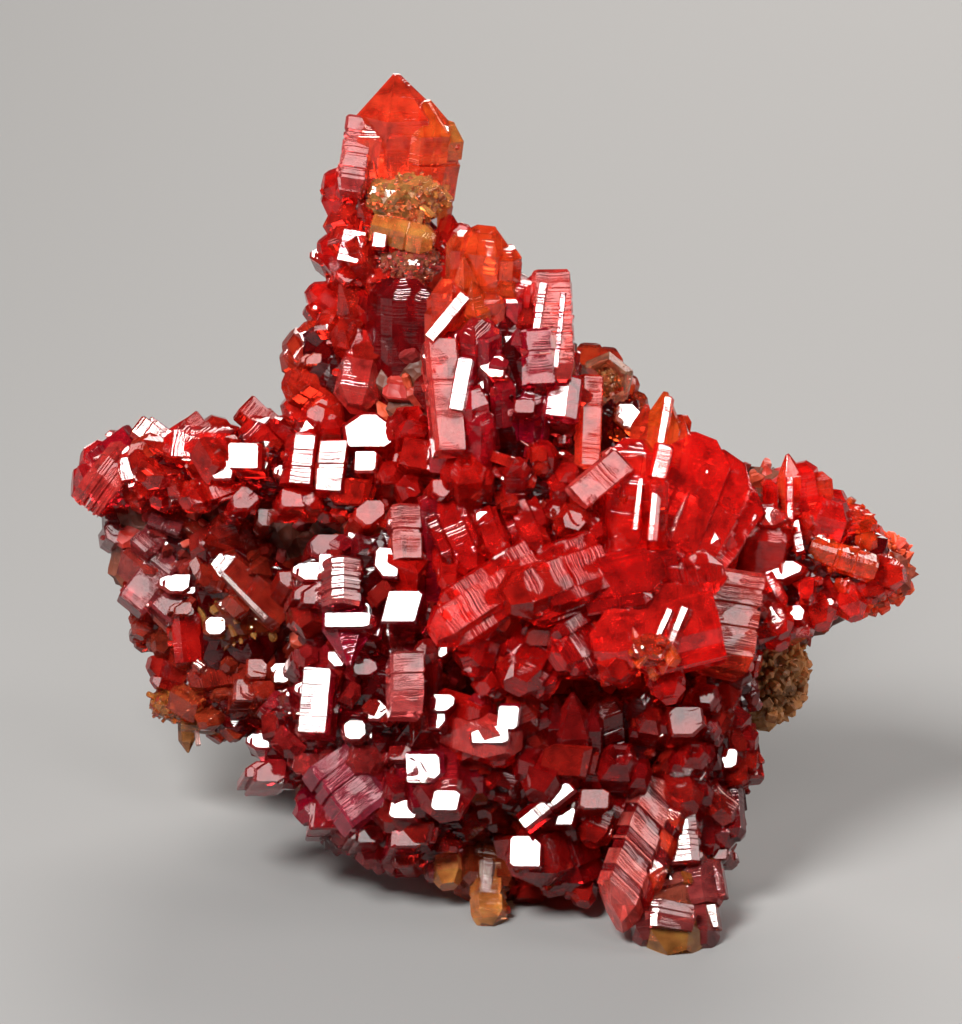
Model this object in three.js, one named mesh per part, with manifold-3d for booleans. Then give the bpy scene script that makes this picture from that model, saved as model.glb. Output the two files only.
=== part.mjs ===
// Wulfenite on matrix: a cluster of deep red crystals grown on a brown druse rock.
// Millimetres, +Z up. The display side looks along -Y, and the rock is cut flat where it rests.
import * as THREE from "three";
import { mergeVertices } from "three/addons/utils/BufferGeometryUtils.js";
import Module from "manifold-3d";

const wasm = await Module();
wasm.setup();

// Driving dimensions
const FACE_LEAN_DEG = 20;           // the display face leans back by this much
const BASE_CENTRE = [3, 39];        // x and y of the rock's flat base, in the layout's own frame
const GAP = 0.32;                   // clearance between neighbouring clusters
const SMALLEST_CHIP = 0.5;          // a loose chip smaller than this, in cubic millimetres, is dropped
const GOLDEN = 0.6180339887;        // spreads small irregularities evenly
const STEP_HEIGHT = 0.3;            // height of one growth step
const STEP_SHARE = 0.86;            // section at a growth step, against the crystal's own
const FOOT_SHARE = 0.92;            // section at the hidden foot of a crystal
const BEVEL_LIMIT = 0.6;            // an end bevel takes at most this share of the length
const END_LEAN = 0.3;               // how far the end face may sit off the axis
const LUMP_ROUGHNESS = 0.2;         // spread of a lump's radii
const STEEP_TO_FACE = 0.15;         // below this, a crystal points nearly out of the display face
const REACH = 80;                   // half width of the floor block that cuts the base flat
const WELD = 1e-4;                  // corners closer than this are one

const RED = { color: 0xb01018, roughness: 0.2, metalness: 0 };
const AMBER = { color: 0xb5541a, roughness: 0.35, metalness: 0 };
const ROCK = { color: 0x8a5a26, roughness: 0.85, metalness: 0 };

// A crystal form: share of the width that is flat in front, length of the end bevel in widths,
// and size of the end face against the section.
const FORMS = {
  prism: { sides: 6, flat: 0.6, bevel: 0.32, end: 0.5 },
  block: { sides: 4, bevel: 0.12, end: 0.8 },
  blade: { sides: 4, bevel: 0.34, end: 0.4 },
  spear: { sides: 6, flat: 0.56, bevel: 0.8, end: 0.12 },
};
const SQUARE_SECTION = [[1, -1], [1, 1], [-1, 1], [-1, -1]];

const sinLean = Math.sin(THREE.MathUtils.degToRad(FACE_LEAN_DEG));
const cosLean = Math.cos(THREE.MathUtils.degToRad(FACE_LEAN_DEG));

// The layout is written on the display face: u to the right, v up the face, d out of it.
function fromFace(u, v, d) {
  return new THREE.Vector3(u, v * sinLean - d * cosLean, v * cosLean + d * sinLean);
}

function spread(index, salt) {
  return ((index + 1) * GOLDEN * (salt + 1)) % 1 - 0.5;
}

// A closed skin over rings of equal size, given from the foot to the tip
function loft(rings) {
  const sides = rings[0].length;
  const positions = rings.flat().flatMap((point) => point.toArray());
  const index = [];
  for (let ring = 0; ring + 1 < rings.length; ring += 1) {
    for (let side = 0; side < sides; side += 1) {
      const next = (side + 1) % sides;
      const a = ring * sides + side;
      const b = ring * sides + next;
      index.push(a, b, b + sides, a, b + sides, a + sides);
    }
  }
  const last = (rings.length - 1) * sides;
  for (let side = 1; side + 1 < sides; side += 1) {
    index.push(0, side + 1, side);
    index.push(last, last + side, last + side + 1);
  }
  const geometry = new THREE.BufferGeometry();
  geometry.setAttribute("position", new THREE.Float32BufferAttribute(positions, 3));
  geometry.setIndex(index);
  return geometry;
}

function toSolid(geometry) {
  const bare = geometry.clone();
  bare.deleteAttribute("normal");
  bare.deleteAttribute("uv");
  const merged = mergeVertices(bare, WELD);
  return new wasm.Manifold(new wasm.Mesh({
    numProp: 3,
    vertProperties: Float32Array.from(merged.attributes.position.array),
    triVerts: Uint32Array.from(merged.index.array),
  }));
}

// A row is: foot u, v, d; tip u, v, d; width; thickness; turn in degrees; form; growth steps.
// With no turn, the flat front looks out of the display face. Larger crystals only are solid here.
function crystal(row, index, grow) {
  const [fu, fv, fd, tu, tv, td, width, thickness, turn, formName, steps = 0] = row;
  const form = FORMS[formName];
  const foot = fromFace(fu, fv, fd);
  const tip = fromFace(tu, tv, td);
  const axis = tip.clone().sub(foot);
  const length = axis.length();
  axis.normalize();
  const outward = fromFace(0, 0, 1);
  const front = outward.clone().addScaledVector(axis, -outward.dot(axis));
  if (front.length() < STEEP_TO_FACE) {
    const upward = fromFace(0, 1, 0);
    front.copy(upward).addScaledVector(axis, -upward.dot(axis));
  }
  front.normalize().applyAxisAngle(axis, THREE.MathUtils.degToRad(turn));
  const across = front.clone().cross(axis).normalize();
  const halfWidth = width / 2 + grow;
  const halfThickness = thickness / 2 + grow;
  const section = form.sides === 4 ? SQUARE_SECTION : [
    [1, 0], [form.flat, 1], [-form.flat, 1], [-1, 0], [-form.flat, -1], [form.flat, -1],
  ];
  const ring = (along, scale, shift) => section.map(([s, f]) => foot.clone()
    .addScaledVector(axis, along)
    .addScaledVector(across, halfWidth * (s * scale + shift[0]))
    .addScaledVector(front, halfThickness * (f * scale + shift[1])));
  const bevel = Math.min(form.bevel * width, length * BEVEL_LIMIT);
  const lean = [spread(index, 0) * END_LEAN, spread(index, 1) * END_LEAN];
  const level = [0, 0];
  const rings = [ring(-grow, FOOT_SHARE, level)];
  for (let step = 1; step <= steps; step += 1) {
    const along = (length - bevel) * step / (steps + 1);
    rings.push(ring(along - STEP_HEIGHT, 1, level), ring(along, STEP_SHARE, level));
  }
  rings.push(ring(length - bevel, 1, level), ring(length + grow, form.end, lean));
  return toSolid(loft(rings));
}

// A rough lump: centre and three radii, on the display face or in the rock's own frame
function lump(centre, radii, detail, grow, index) {
  const geometry = mergeVertices(bareBall(detail), WELD);
  const position = geometry.attributes.position;
  for (let vertex = 0; vertex < position.count; vertex += 1) {
    const rough = 1 + LUMP_ROUGHNESS * spread(vertex, index);
    const point = new THREE.Vector3().fromBufferAttribute(position, vertex);
    const size = radii.map((radius) => radius * rough + grow);
    point.set(point.x * size[0], point.y * size[1], point.z * size[2]).add(centre);
    position.setXYZ(vertex, point.x, point.y, point.z);
  }
  return toSolid(geometry);
}

function bareBall(detail) {
  const ball = new THREE.IcosahedronGeometry(1, detail);
  ball.deleteAttribute("normal");
  ball.deleteAttribute("uv");
  return ball;
}

function faceLump([u, v, d, ru, rv, rd], index, grow) {
  return lump(fromFace(u, v, d), [ru, rd, rv], 0, grow, index);
}

function box(low, high) {
  const size = high.map((value, axis) => value - low[axis]);
  const geometry = new THREE.BoxGeometry(...size);
  geometry.translate(...low.map((value, axis) => value + size[axis] / 2));
  return toSolid(geometry);
}

// The rock: x, y, z and three radii of each lump, and its fineness
const ROCK_LUMPS = [
  [2, 36, 22, 20, 16, 22, 1],
  [3, 39, 5, 20, 18, 12, 1],
  [1, 35, 43, 11, 8, 11, 0],
  [-10, 41.5, 42, 5, 4.4, 14, 0],
  [-21, 45, 24, 13, 9, 13, 0],
  [-31, 46, 27, 7, 5.6, 8, 0],
  [26, 35.5, 28, 11, 7.6, 10, 0],
  [36.6, 33, 28.6, 7.4, 4.6, 4.4, 0],
  [28.6, 31.6, 18.2, 4.4, 4.6, 5.4, 1],
  [-12, 49, 5, 9, 8, 9, 0],
];

// Each cluster: its own crust lumps (u, v, d and three radii) and its crystals, front and back
const CLUSTERS = {
  banded_crystal: {
    look: RED,
    crust: [[17.4, 15.8, -7.4, 2.7, 2.5, 3.4]],
    crystals: [
      [17.9, 16.8, -4.8, 13.2, 3.9, -3.8, 5.7, 4.8, -5, "prism", 5],
    ],
  },
  foot_crystal: {
    look: AMBER,
    crust: [[19.8, 8.8, -8, 4.7, 3.4, 4.7]],
    crystals: [
      [18.8, 9.4, -5.0, 19.6, -0.4, -0.6, 6.4, 5.4, 6, "prism", 2],
    ],
  },
  hollow_crystal: {
    look: AMBER,
    crust: [[12.8, 51.4, -21, 4.9, 5.8, 5.2]],
    hopper: [10.9, 54.6, -25.5, 12.9, 57.2, -18.4, 5.6, 5.0, 0, "block"],
    crystals: [
      [10.2, 52.0, -23.4, 11.2, 61.0, -22.0, 3.8, 3.4, 0, "prism"],
      [12.4, 53.0, -23.0, 13.6, 56.4, -28.0, 4.2, 3.6, 0, "prism"],
    ],
  },
  spire: {
    look: RED,
    crust: [
      [-10.6, 58, -23.6, 8.1, 10.8, 6],
      [-9.4, 69, -21.2, 6.3, 9, 4.9],
      [-8.2, 78, -18.9, 4.7, 6, 3.8],
    ],
    crystals: [
      [-8.6, 73.5, -20.5, -8.0, 88.0, -17.0, 7.2, 6.0, 12, "spear"],
      [-4.6, 76.2, -19.6, -3.8, 84.1, -17.4, 4.2, 4.0, -15, "spear"],
      [-13.0, 75.8, -20.2, -11.6, 84.7, -18.2, 3.2, 3.0, -25, "prism"],
      [-11.6, 76.4, -20.6, -13.0, 77.2, -16.2, 2.9, 2.7, 0, "block"],
      [-12.8, 73.5, -20.6, -15.0, 78.4, -19.0, 3.4, 3.0, -20, "prism"],
      [-4.6, 66.0, -22.0, -1.6, 73.1, -20.2, 2.6, 2.6, 0, "prism"],
      [-13.4, 68.4, -21.2, -16.0, 71.6, -20.4, 3.0, 2.8, 0, "prism"],
      [-13.6, 63.6, -22.6, -17.2, 66.8, -21.4, 3.2, 3.2, 20, "prism"],
      [-14.0, 59.0, -24.2, -18.0, 62.8, -22.8, 3.8, 3.6, 0, "prism"],
      [-14.4, 55.0, -25.2, -18.6, 58.9, -24.2, 3.8, 3.6, 15, "prism"],
      [-15.0, 51.6, -26.0, -19.5, 55.7, -25.2, 4.0, 3.8, 0, "prism"],
      [-11.0, 61.2, -22.4, -13.4, 54.0, -17.4, 4.7, 4.2, 10, "prism"],
      [-12.0, 55.6, -26.6, -14.2, 59.4, -31.6, 4.6, 4.2, 30, "prism"],
      [-6.4, 55.6, -26.0, -3.8, 60.4, -30.6, 4.2, 3.8, 0, "prism"],
    ],
  },
  centre_tower: {
    look: RED,
    crust: [
      [2.4, 56, -9.4, 8.1, 11, 5.5],
      [0.8, 64.4, -8.4, 3.8, 5.2, 3.6],
    ],
    crystals: [
      [0.2, 65.2, -8.0, 0.6, 72.1, -5.6, 5.8, 5.0, -8, "prism"],
      [-2.9, 58.8, -7.6, -2.9, 67.4, -5.6, 4.0, 3.8, -28, "prism"],
      [-4.1, 49.4, -7.0, -4.2, 60.8, -5.0, 3.2, 3.2, -12, "block"],
      [7.2, 54.4, -9.4, 6.7, 68.0, -7.6, 4.0, 3.7, 18, "prism"],
      [0.4, 56.4, -6.4, 0.4, 62.0, -2.8, 3.5, 3.2, 4, "block"],
      [-1.3, 48.2, -6.0, -1.3, 56.4, -3.0, 4.7, 4.2, -24, "prism"],
      [8.4, 51.0, -9.6, 8.7, 57.4, -6.0, 3.2, 2.9, 10, "block"],
      [7.0, 54.6, -12.4, 8.4, 60.0, -16.6, 4.2, 3.8, 0, "prism"],
      [-1.6, 56.6, -12.0, -2.4, 62.4, -16.4, 4.4, 4.0, 0, "prism"],
    ],
  },
  right_blades: {
    look: RED,
    crust: [[19.4, 43, -9.8, 8.1, 7.2, 4.9]],
    crystals: [
      [17.0, 43.4, -7.4, 18.8, 56.0, -9.0, 4.2, 2.8, 14, "spear"],
      [19.0, 45.0, -8.8, 20.3, 53.7, -10.0, 2.2, 2.4, 20, "prism"],
      [18.5, 40.5, -6.0, 22.6, 51.2, -9.4, 6.0, 2.8, 10, "blade"],
      [20.5, 40.0, -6.6, 25.4, 49.4, -10.4, 5.4, 2.8, 14, "blade"],
      [22.0, 39.5, -8.0, 26.8, 46.8, -11.0, 4.0, 3.0, 14, "blade"],
      [15.0, 39.0, -5.8, 15.6, 51.3, -5.2, 4.0, 3.0, -12, "blade"],
      [13.6, 39.8, -6.4, 13.8, 48.6, -5.4, 3.0, 2.8, -20, "prism"],
      [19.6, 43.4, -12.0, 21.6, 48.0, -16.4, 4.8, 4.2, 0, "prism"],
      [23.4, 41.0, -12.6, 26.6, 43.6, -17.0, 4.4, 4.0, 0, "prism"],
    ],
  },
  middle_ledge: {
    look: RED,
    crust: [
      [7, 34, -4.2, 10.8, 5.2, 4.7],
      [16, 33.6, -4, 7.8, 6.5, 4.7],
    ],
    crystals: [
      [5.8, 38.6, 0.0, -4.8, 31.8, 2.0, 4.9, 4.2, 10, "prism"],
      [12.0, 38.8, -0.6, 2.4, 35.2, 3.2, 5.6, 4.8, 12, "prism"],
      [3.0, 29.4, -4.0, -1.9, 30.4, 1.6, 4.2, 3.8, 0, "prism"],
      [5.8, 31.0, -3.4, 3.4, 26.8, 2.0, 5.0, 4.4, 0, "prism"],
      [10.4, 36.8, 0.2, 18.4, 38.3, 1.6, 4.5, 3.4, 0, "blade"],
      [16.8, 37.0, -0.8, 24.3, 38.3, -0.8, 4.1, 3.4, 10, "blade"],
      [11.6, 32.6, -0.4, 23.0, 32.7, 1.8, 6.4, 4.0, 8, "blade"],
      [11.2, 31.6, -1.0, 7.5, 29.3, 3.2, 4.5, 3.8, 0, "prism"],
      [13.0, 29.2, -2.4, 13.8, 28.4, 3.2, 3.9, 3.8, 0, "prism"],
    ],
  },
  front_columns: {
    look: RED,
    crust: [
      [-9, 35.4, -10, 9.4, 8.3, 5.2],
      [-9.4, 22.6, -10.4, 9.4, 9.2, 6.3],
      [-5.6, 14, -11, 7.2, 5.8, 4.9],
      [-13, 13.4, -14.6, 4.7, 4.7, 4],
      [-16.6, 21.8, -13.4, 5.8, 6, 5],
    ],
    crystals: [
      [-13.7, 33.2, -9.0, -13.7, 39.4, -4.6, 4.2, 3.8, 0, "block"],
      [-13.2, 34.6, -6.6, -13.0, 28.2, -2.4, 5.3, 4.4, 0, "spear"],
      [-8.2, 34.0, -8.4, -7.6, 40.2, -3.4, 4.3, 4.0, -30, "block"],
      [-5.2, 33.0, -7.4, -5.0, 45.4, -5.0, 3.2, 3.2, 25, "prism"],
      [-7.7, 37.8, -9.4, -7.5, 44.6, -5.4, 3.6, 3.4, -6, "block"],
      [-7.4, 22.4, -4.8, -7.4, 29.9, -0.4, 4.5, 4.0, -8, "block"],
      [-15.9, 21.0, -11.0, -15.9, 28.0, -6.0, 3.7, 3.4, -6, "block"],
      [-15.4, 20.0, -10.6, -10.6, 13.4, -6.6, 6.5, 3.8, 0, "block"],
      [-3.9, 21.0, -8.0, -3.6, 14.0, -2.4, 6.6, 5.6, 8, "prism"],
      [-14.6, 13.0, -16.0, -15.2, 13.8, -10.2, 3.6, 3.2, 0, "block"],
      [-11.6, 11.6, -15.4, -10.6, 7.2, -12.6, 3.8, 3.4, 0, "prism"],
      [-3.8, 12.0, -13.2, -3.0, 6.4, -10.2, 3.7, 3.5, 0, "prism"],
      [-3.4, 23.0, -6.0, 3.2, 21.0, 0.0, 5.0, 4.6, 20, "prism"],
    ],
  },
  central_prisms: {
    look: RED,
    crust: [[3.4, 44.6, -8, 9.6, 6.3, 4.7]],
    crystals: [
      [-1.1, 44.2, -6.6, -1.2, 49.0, -1.6, 4.0, 3.6, 5, "prism"],
      [3.2, 46.0, -6.4, 6.0, 39.8, -1.6, 3.1, 2.9, 0, "prism"],
      [-4.0, 45.6, -6.2, -0.6, 38.0, -1.0, 3.4, 3.0, 0, "prism"],
      [9.0, 41.6, -8.0, 9.4, 43.4, -2.0, 4.4, 3.6, 0, "prism"],
      [6.2, 44.5, -8.0, 6.4, 51.0, -5.4, 3.2, 3.0, 0, "prism"],
    ],
  },
  white_row: {
    look: RED,
    crust: [[-12.2, 48, -16.2, 7.8, 4.9, 4.5]],
    crystals: [
      [-11.4, 50.6, -17.0, -11.4, 52.4, -11.0, 4.9, 3.7, 0, "block"],
      [-18.2, 46.2, -18.0, -17.8, 51.8, -14.6, 3.9, 3.5, -8, "block"],
      [-14.8, 45.2, -16.4, -14.8, 51.2, -12.2, 3.5, 3.3, -8, "block"],
      [-7.4, 49.0, -15.0, -6.8, 53.9, -9.4, 4.4, 3.9, 10, "prism"],
      [-6.6, 48.0, -14.4, -6.0, 49.8, -7.6, 3.5, 3.3, 10, "block"],
    ],
  },
  right_arm: {
    look: RED,
    crust: [
      [30.6, 38, -17, 7.6, 5.8, 4.9],
      [37.2, 38.6, -18.8, 5.4, 5, 3.4],
      [25.6, 33, -11.6, 4, 5.2, 4.7],
    ],
    crystals: [
      [27.8, 37.2, -16.0, 28.8, 44.6, -12.0, 6.6, 5.4, 6, "prism"],
      [31.6, 42.4, -17.6, 31.0, 49.8, -17.0, 2.4, 2.2, 10, "prism"],
      [33.6, 38.6, -17.4, 35.6, 45.6, -17.0, 4.8, 4.2, 10, "prism"],
      [35.4, 41.0, -19.0, 36.0, 46.3, -19.0, 3.0, 2.8, 0, "prism"],
      [38.2, 37.4, -18.0, 42.8, 37.8, -16.6, 3.4, 3.0, 0, "prism"],
      [30.4, 37.2, -17.0, 30.6, 38.3, -11.4, 4.2, 3.1, 0, "block"],
      [24.0, 27.6, -8.6, 26.0, 37.8, -8.8, 4.8, 4.4, 8, "prism", 4],
      [28.4, 39.0, -19.4, 28.6, 42.8, -24.6, 4.6, 4.2, 0, "prism"],
    ],
  },
  lower_right: {
    look: RED,
    crust: [
      [9.6, 18.4, -9.2, 11, 7.8, 6.3],
      [21.6, 17.8, -12, 5.6, 9, 5.6],
      [8.6, 10.6, -12.4, 6.9, 4.3, 4.5],
      [1.2, 10.4, -13, 3.4, 3.4, 3.4],
      [23.6, 26.4, -12.6, 4.8, 4.8, 3.8],
    ],
    crystals: [
      [9.4, 20.0, -4.6, 9.4, 25.8, -0.8, 4.8, 4.4, 0, "spear"],
      [5.2, 21.0, -6.0, 3.6, 25.4, -0.6, 4.6, 4.0, 0, "prism"],
      [7.8, 20.6, -5.6, 5.4, 15.8, -1.6, 5.0, 4.4, 10, "prism"],
      [10.0, 10.8, -10.6, 3.6, 8.8, -4.8, 6.4, 5.6, 0, "prism"],
      [13.4, 17.0, -7.4, 13.6, 19.8, -1.6, 4.8, 4.2, 0, "prism"],
      [24.8, 17.8, -13.4, 24.9, 24.8, -9.8, 4.5, 4.0, 0, "prism"],
      [19.6, 17.8, -7.6, 20.6, 14.4, -3.6, 4.2, 3.8, 0, "prism"],
      [24.0, 16.0, -11.0, 24.3, 10.2, -8.4, 3.5, 3.3, 10, "prism"],
      [20.0, 16.0, -8.6, 20.4, 8.6, -5.2, 3.5, 3.2, -4, "block"],
      [0.6, 11.4, -12.6, 0.9, 2.5, -7.4, 3.8, 3.5, -10, "prism"],
      [22.0, 13.0, -13.4, 23.0, 12.2, -18.0, 4.6, 4.2, 0, "prism"],
    ],
  },
  left_shelf: {
    look: RED,
    crust: [
      [-22.6, 48.8, -21.6, 5.4, 4.3, 4.7],
      [-29.6, 48.7, -25.6, 6.5, 3.6, 4.3],
      [-35.8, 48, -29, 4.3, 3.1, 3.1],
    ],
    crystals: [
      [-34.8, 50.6, -28.0, -41.4, 46.0, -31.6, 5.0, 4.4, 0, "prism"],
      [-31.0, 48.8, -25.4, -35.8, 50.8, -25.6, 4.9, 4.2, 0, "prism"],
      [-24.8, 50.4, -21.4, -31.8, 51.1, -24.4, 4.5, 4.0, 10, "prism"],
      [-20.6, 49.8, -20.6, -23.8, 53.0, -20.4, 4.4, 4.0, 0, "prism"],
      [-30.0, 49.6, -27.8, -31.0, 51.2, -33.2, 4.8, 4.2, 0, "prism"],
      [-35.6, 48.8, -30.4, -38.0, 49.8, -34.6, 4.2, 3.8, 0, "prism"],
    ],
  },
  left_cluster: {
    look: RED,
    crust: [
      [-24, 33.4, -27.4, 7.6, 10.8, 5.2],
      [-30.8, 36, -31, 4.9, 9.6, 3.6],
      [-24.4, 24.8, -30, 7.2, 4, 4.3],
    ],
    crystals: [
      [-30.4, 41.0, -30.4, -35.7, 34.0, -27.0, 3.6, 3.3, 0, "block"],
      [-24.6, 38.8, -26.0, -26.0, 43.4, -21.4, 3.5, 3.2, 0, "prism"],
      [-19.8, 33.4, -23.4, -27.0, 39.2, -22.4, 4.4, 3.8, 10, "prism"],
      [-29.2, 28.4, -30.6, -30.0, 34.0, -25.6, 3.1, 3.0, 12, "block"],
      [-19.6, 28.6, -26.0, -30.8, 27.1, -27.6, 4.5, 4.2, 0, "prism"],
      [-28.4, 26.4, -31.4, -33.5, 23.9, -30.4, 2.8, 2.4, 0, "prism"],
      [-29.4, 25.6, -31.6, -29.9, 19.5, -31.2, 1.8, 1.6, 0, "blade"],
      [-22.8, 24.8, -30.4, -25.8, 22.3, -26.8, 3.7, 3.4, 0, "prism"],
    ],
  },
};

// Union of many solids in one pass
function join(solids) {
  return wasm.Manifold.union(solids);
}

function clusterSolid(cluster, grow) {
  const solids = [
    ...cluster.crust.map((row, index) => faceLump(row, index, grow)),
    ...cluster.crystals.map((row, index) => crystal(row, index, grow)),
  ];
  if (cluster.hopper) {
    solids.push(crystal(cluster.hopper, 0, grow));
  }
  return join(solids);
}

// The hollow end of the pale crystal: a shallow pit with the crystal's own outline
function hopperPit(row) {
  const [fu, fv, fd, tu, tv, td, width, thickness, turn, form] = row;
  const rim = 1.5;
  const depthShare = 0.72;
  const pit = [
    fu + (tu - fu) * depthShare, fv + (tv - fv) * depthShare, fd + (td - fd) * depthShare,
    tu + (tu - fu) * 0.2, tv + (tv - fv) * 0.2, td + (td - fd) * 0.2,
    width - rim, thickness - rim, turn, form,
  ];
  return crystal(pit, 0, 0);
}

function largestPiece(solid, name) {
  const pieces = solid.decompose().sort((a, b) => b.volume() - a.volume());
  const lost = pieces.slice(1).reduce((sum, piece) => sum + piece.volume(), 0);
  if (lost > SMALLEST_CHIP) {
    console.warn(`${name}: ${pieces.length - 1} loose chips, ${lost.toFixed(2)} cubic millimetres`);
  }
  return pieces[0];
}

const floor = box([-REACH, -REACH, -REACH], [REACH, REACH + BASE_CENTRE[1], 0]);
const boulder = (grow) => join(ROCK_LUMPS.map(([x, y, z, rx, ry, rz, detail], index) => (
  lump(new THREE.Vector3(x, y, z), [rx, ry, rz], detail, grow, index)
)));

const solids = { matrix: largestPiece(boulder(0).subtract(floor), "matrix") };
let taken = join([boulder(GAP), floor]);
for (const [name, cluster] of Object.entries(CLUSTERS)) {
  let body = clusterSolid(cluster, 0).subtract(taken);
  if (cluster.hopper) {
    body = body.subtract(hopperPit(cluster.hopper));
  }
  solids[name] = largestPiece(body, name);
  taken = join([taken, clusterSolid(cluster, GAP)]);
}

const LOOKS = { matrix: ROCK };
for (const [name, cluster] of Object.entries(CLUSTERS)) {
  LOOKS[name] = cluster.look;
}

const specimen = new THREE.Group();
specimen.name = "wulfenite_on_matrix";
specimen.position.set(-BASE_CENTRE[0], -BASE_CENTRE[1], 0);
for (const [name, solid] of Object.entries(solids)) {
  const skin = solid.getMesh();
  const geometry = new THREE.BufferGeometry();
  geometry.setAttribute("position", new THREE.Float32BufferAttribute(skin.vertProperties, 3));
  geometry.setIndex(Array.from(skin.triVerts));
  const mesh = new THREE.Mesh(geometry, new THREE.MeshStandardMaterial(LOOKS[name]));
  mesh.name = name;
  specimen.add(mesh);
}

const part = new THREE.Group();
part.add(specimen);

export default part;
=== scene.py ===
# Wulfenite on matrix: the looks of a cluster of deep red crystals on a brown druse rock.
# The layout is in millimetres on the display face, and Blender's objects are in metres.
import math

import bmesh
import bpy
from mathutils import Matrix, Vector


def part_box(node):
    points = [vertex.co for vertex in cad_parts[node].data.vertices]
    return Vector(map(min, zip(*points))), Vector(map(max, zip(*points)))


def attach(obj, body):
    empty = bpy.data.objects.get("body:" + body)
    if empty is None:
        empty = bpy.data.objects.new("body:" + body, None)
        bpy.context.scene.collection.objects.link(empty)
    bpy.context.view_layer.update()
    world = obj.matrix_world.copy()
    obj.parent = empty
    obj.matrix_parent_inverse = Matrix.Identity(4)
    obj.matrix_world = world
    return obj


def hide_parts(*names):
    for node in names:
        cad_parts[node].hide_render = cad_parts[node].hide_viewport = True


MM = 0.001
FACE_LEAN = math.radians(20)
BASE_CENTRE = (3.0, 39.0)
GOLDEN = 0.6180339887
VIEW_CENTRE = (0.1, 44.0, -8.0)
VIEW_HEIGHT = 102.4
VIEW_DISTANCE = 1100.0
SENSOR = 36.0
KEY_SIDE = (-0.36, 0.52, 0.78)
FILL_SIDE = (0.28, 0.55, 0.80)
FLOOR_REACH = 1.5

# In millimetres: the gap of a growth step and of a dark band, and the lowest place of a small crystal's tip
STEP_GAP = 0.25
BAND_GAP = 1.1
LOWEST_TIP = 0.3

# The sloping edge at the lower left of the display face: its start, how far it runs and its fall
SLOPE_START = (-18, 14.6)
SLOPE_RUN = (-20, -2)
SLOPE_FALL = 0.62


def from_face(u, v, d):
    """A point of the display face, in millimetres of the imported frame."""
    lean_sin, lean_cos = math.sin(FACE_LEAN), math.cos(FACE_LEAN)
    y, z = v * lean_sin - d * lean_cos - BASE_CENTRE[1], v * lean_cos + d * lean_sin
    return Vector((u - BASE_CENTRE[0], y, z))


def to_face(point):
    """The display face coordinates of a point, in millimetres."""
    lean_sin, lean_cos = math.sin(FACE_LEAN), math.cos(FACE_LEAN)
    x, y, z = point.x + BASE_CENTRE[0], point.y + BASE_CENTRE[1], point.z
    return Vector((x, y * lean_sin + z * lean_cos, z * lean_sin - y * lean_cos))


def face_direction(u, v, d):
    return (from_face(u, v, d) - from_face(0, 0, 0)).normalized()


def add_camera():
    data = bpy.data.cameras.new("camera")
    data.sensor_width = SENSOR
    data.lens = SENSOR * VIEW_DISTANCE / VIEW_HEIGHT
    data.clip_end = 50
    camera = bpy.data.objects.new("camera", data)
    bpy.context.scene.collection.objects.link(camera)
    right, up, back = face_direction(1, 0, 0), face_direction(0, 1, 0), face_direction(0, 0, 1)
    turn = Matrix((right, up, back)).transposed().to_4x4()
    place = from_face(*VIEW_CENTRE) + back * VIEW_DISTANCE
    camera.matrix_world = Matrix.Translation(place * MM) @ turn
    bpy.context.scene.camera = camera


add_camera()
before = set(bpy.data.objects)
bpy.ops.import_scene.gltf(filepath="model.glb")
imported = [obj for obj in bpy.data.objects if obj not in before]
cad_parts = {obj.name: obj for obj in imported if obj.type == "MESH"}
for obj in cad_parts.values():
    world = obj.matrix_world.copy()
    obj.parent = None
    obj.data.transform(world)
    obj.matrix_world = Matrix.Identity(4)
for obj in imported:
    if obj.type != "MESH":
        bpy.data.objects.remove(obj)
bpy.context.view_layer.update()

# The face direction that throws each light back to the viewer
HALF_WAY = {
    "white": (face_direction(*KEY_SIDE) + face_direction(0, 0, 1)).normalized(),
    "pink": (face_direction(*FILL_SIDE) + face_direction(0, 0, 1)).normalized(),
}
HALF_WAY["mauve"] = HALF_WAY["stack"] = HALF_WAY["pink"]


def spread(index, salt):
    """A fixed value between -0.5 and 0.5 that looks uneven."""
    return math.sin(12.9898 * (index + 1) + 78.233 * (salt + 1)) * 43758.5453 % 1 - 0.5


def chance(index, salt):
    return 0.5 + spread(index, salt)


def jitter(amount, index, salt):
    return Vector([amount * spread(index, salt + axis) for axis in range(3)])


# Crystal forms: number of sides, share of the width that is flat in front on six-sided ones,
# end bevel in widths, size of the end face
FORMS = {
    "prism": {"sides": 6, "flat": 0.6, "bevel": 0.32, "end": 0.5},
    "block": {"sides": 4, "bevel": 0.12, "end": 0.84},
    "blade": {"sides": 4, "bevel": 0.34, "end": 0.4},
    "spear": {"sides": 6, "flat": 0.56, "bevel": 0.8, "end": 0.12},
    "peak": {"sides": 6, "flat": 0.5, "bevel": 0.46, "end": 0.1},
    "white": {"sides": 4, "bevel": 0.08, "end": 0.9},
    "pink": {"sides": 4, "bevel": 0.1, "end": 0.88},
    "mauve": {"sides": 4, "bevel": 0.1, "end": 0.9},
    "cup": {"sides": 6, "flat": 0.55, "bevel": 0.08, "end": 0.95},
}
FORMS["stack"] = FORMS["prism"]
INFILL_FORMS = ("prism", "spear", "pink", "prism", "blade", "prism", "spear", "white", "prism", "block")
CHIP_FORMS = ("block", "prism", "white", "blade", "pink")
GRAIN_FORMS = ("blade", "spear", "block", "prism")

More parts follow.
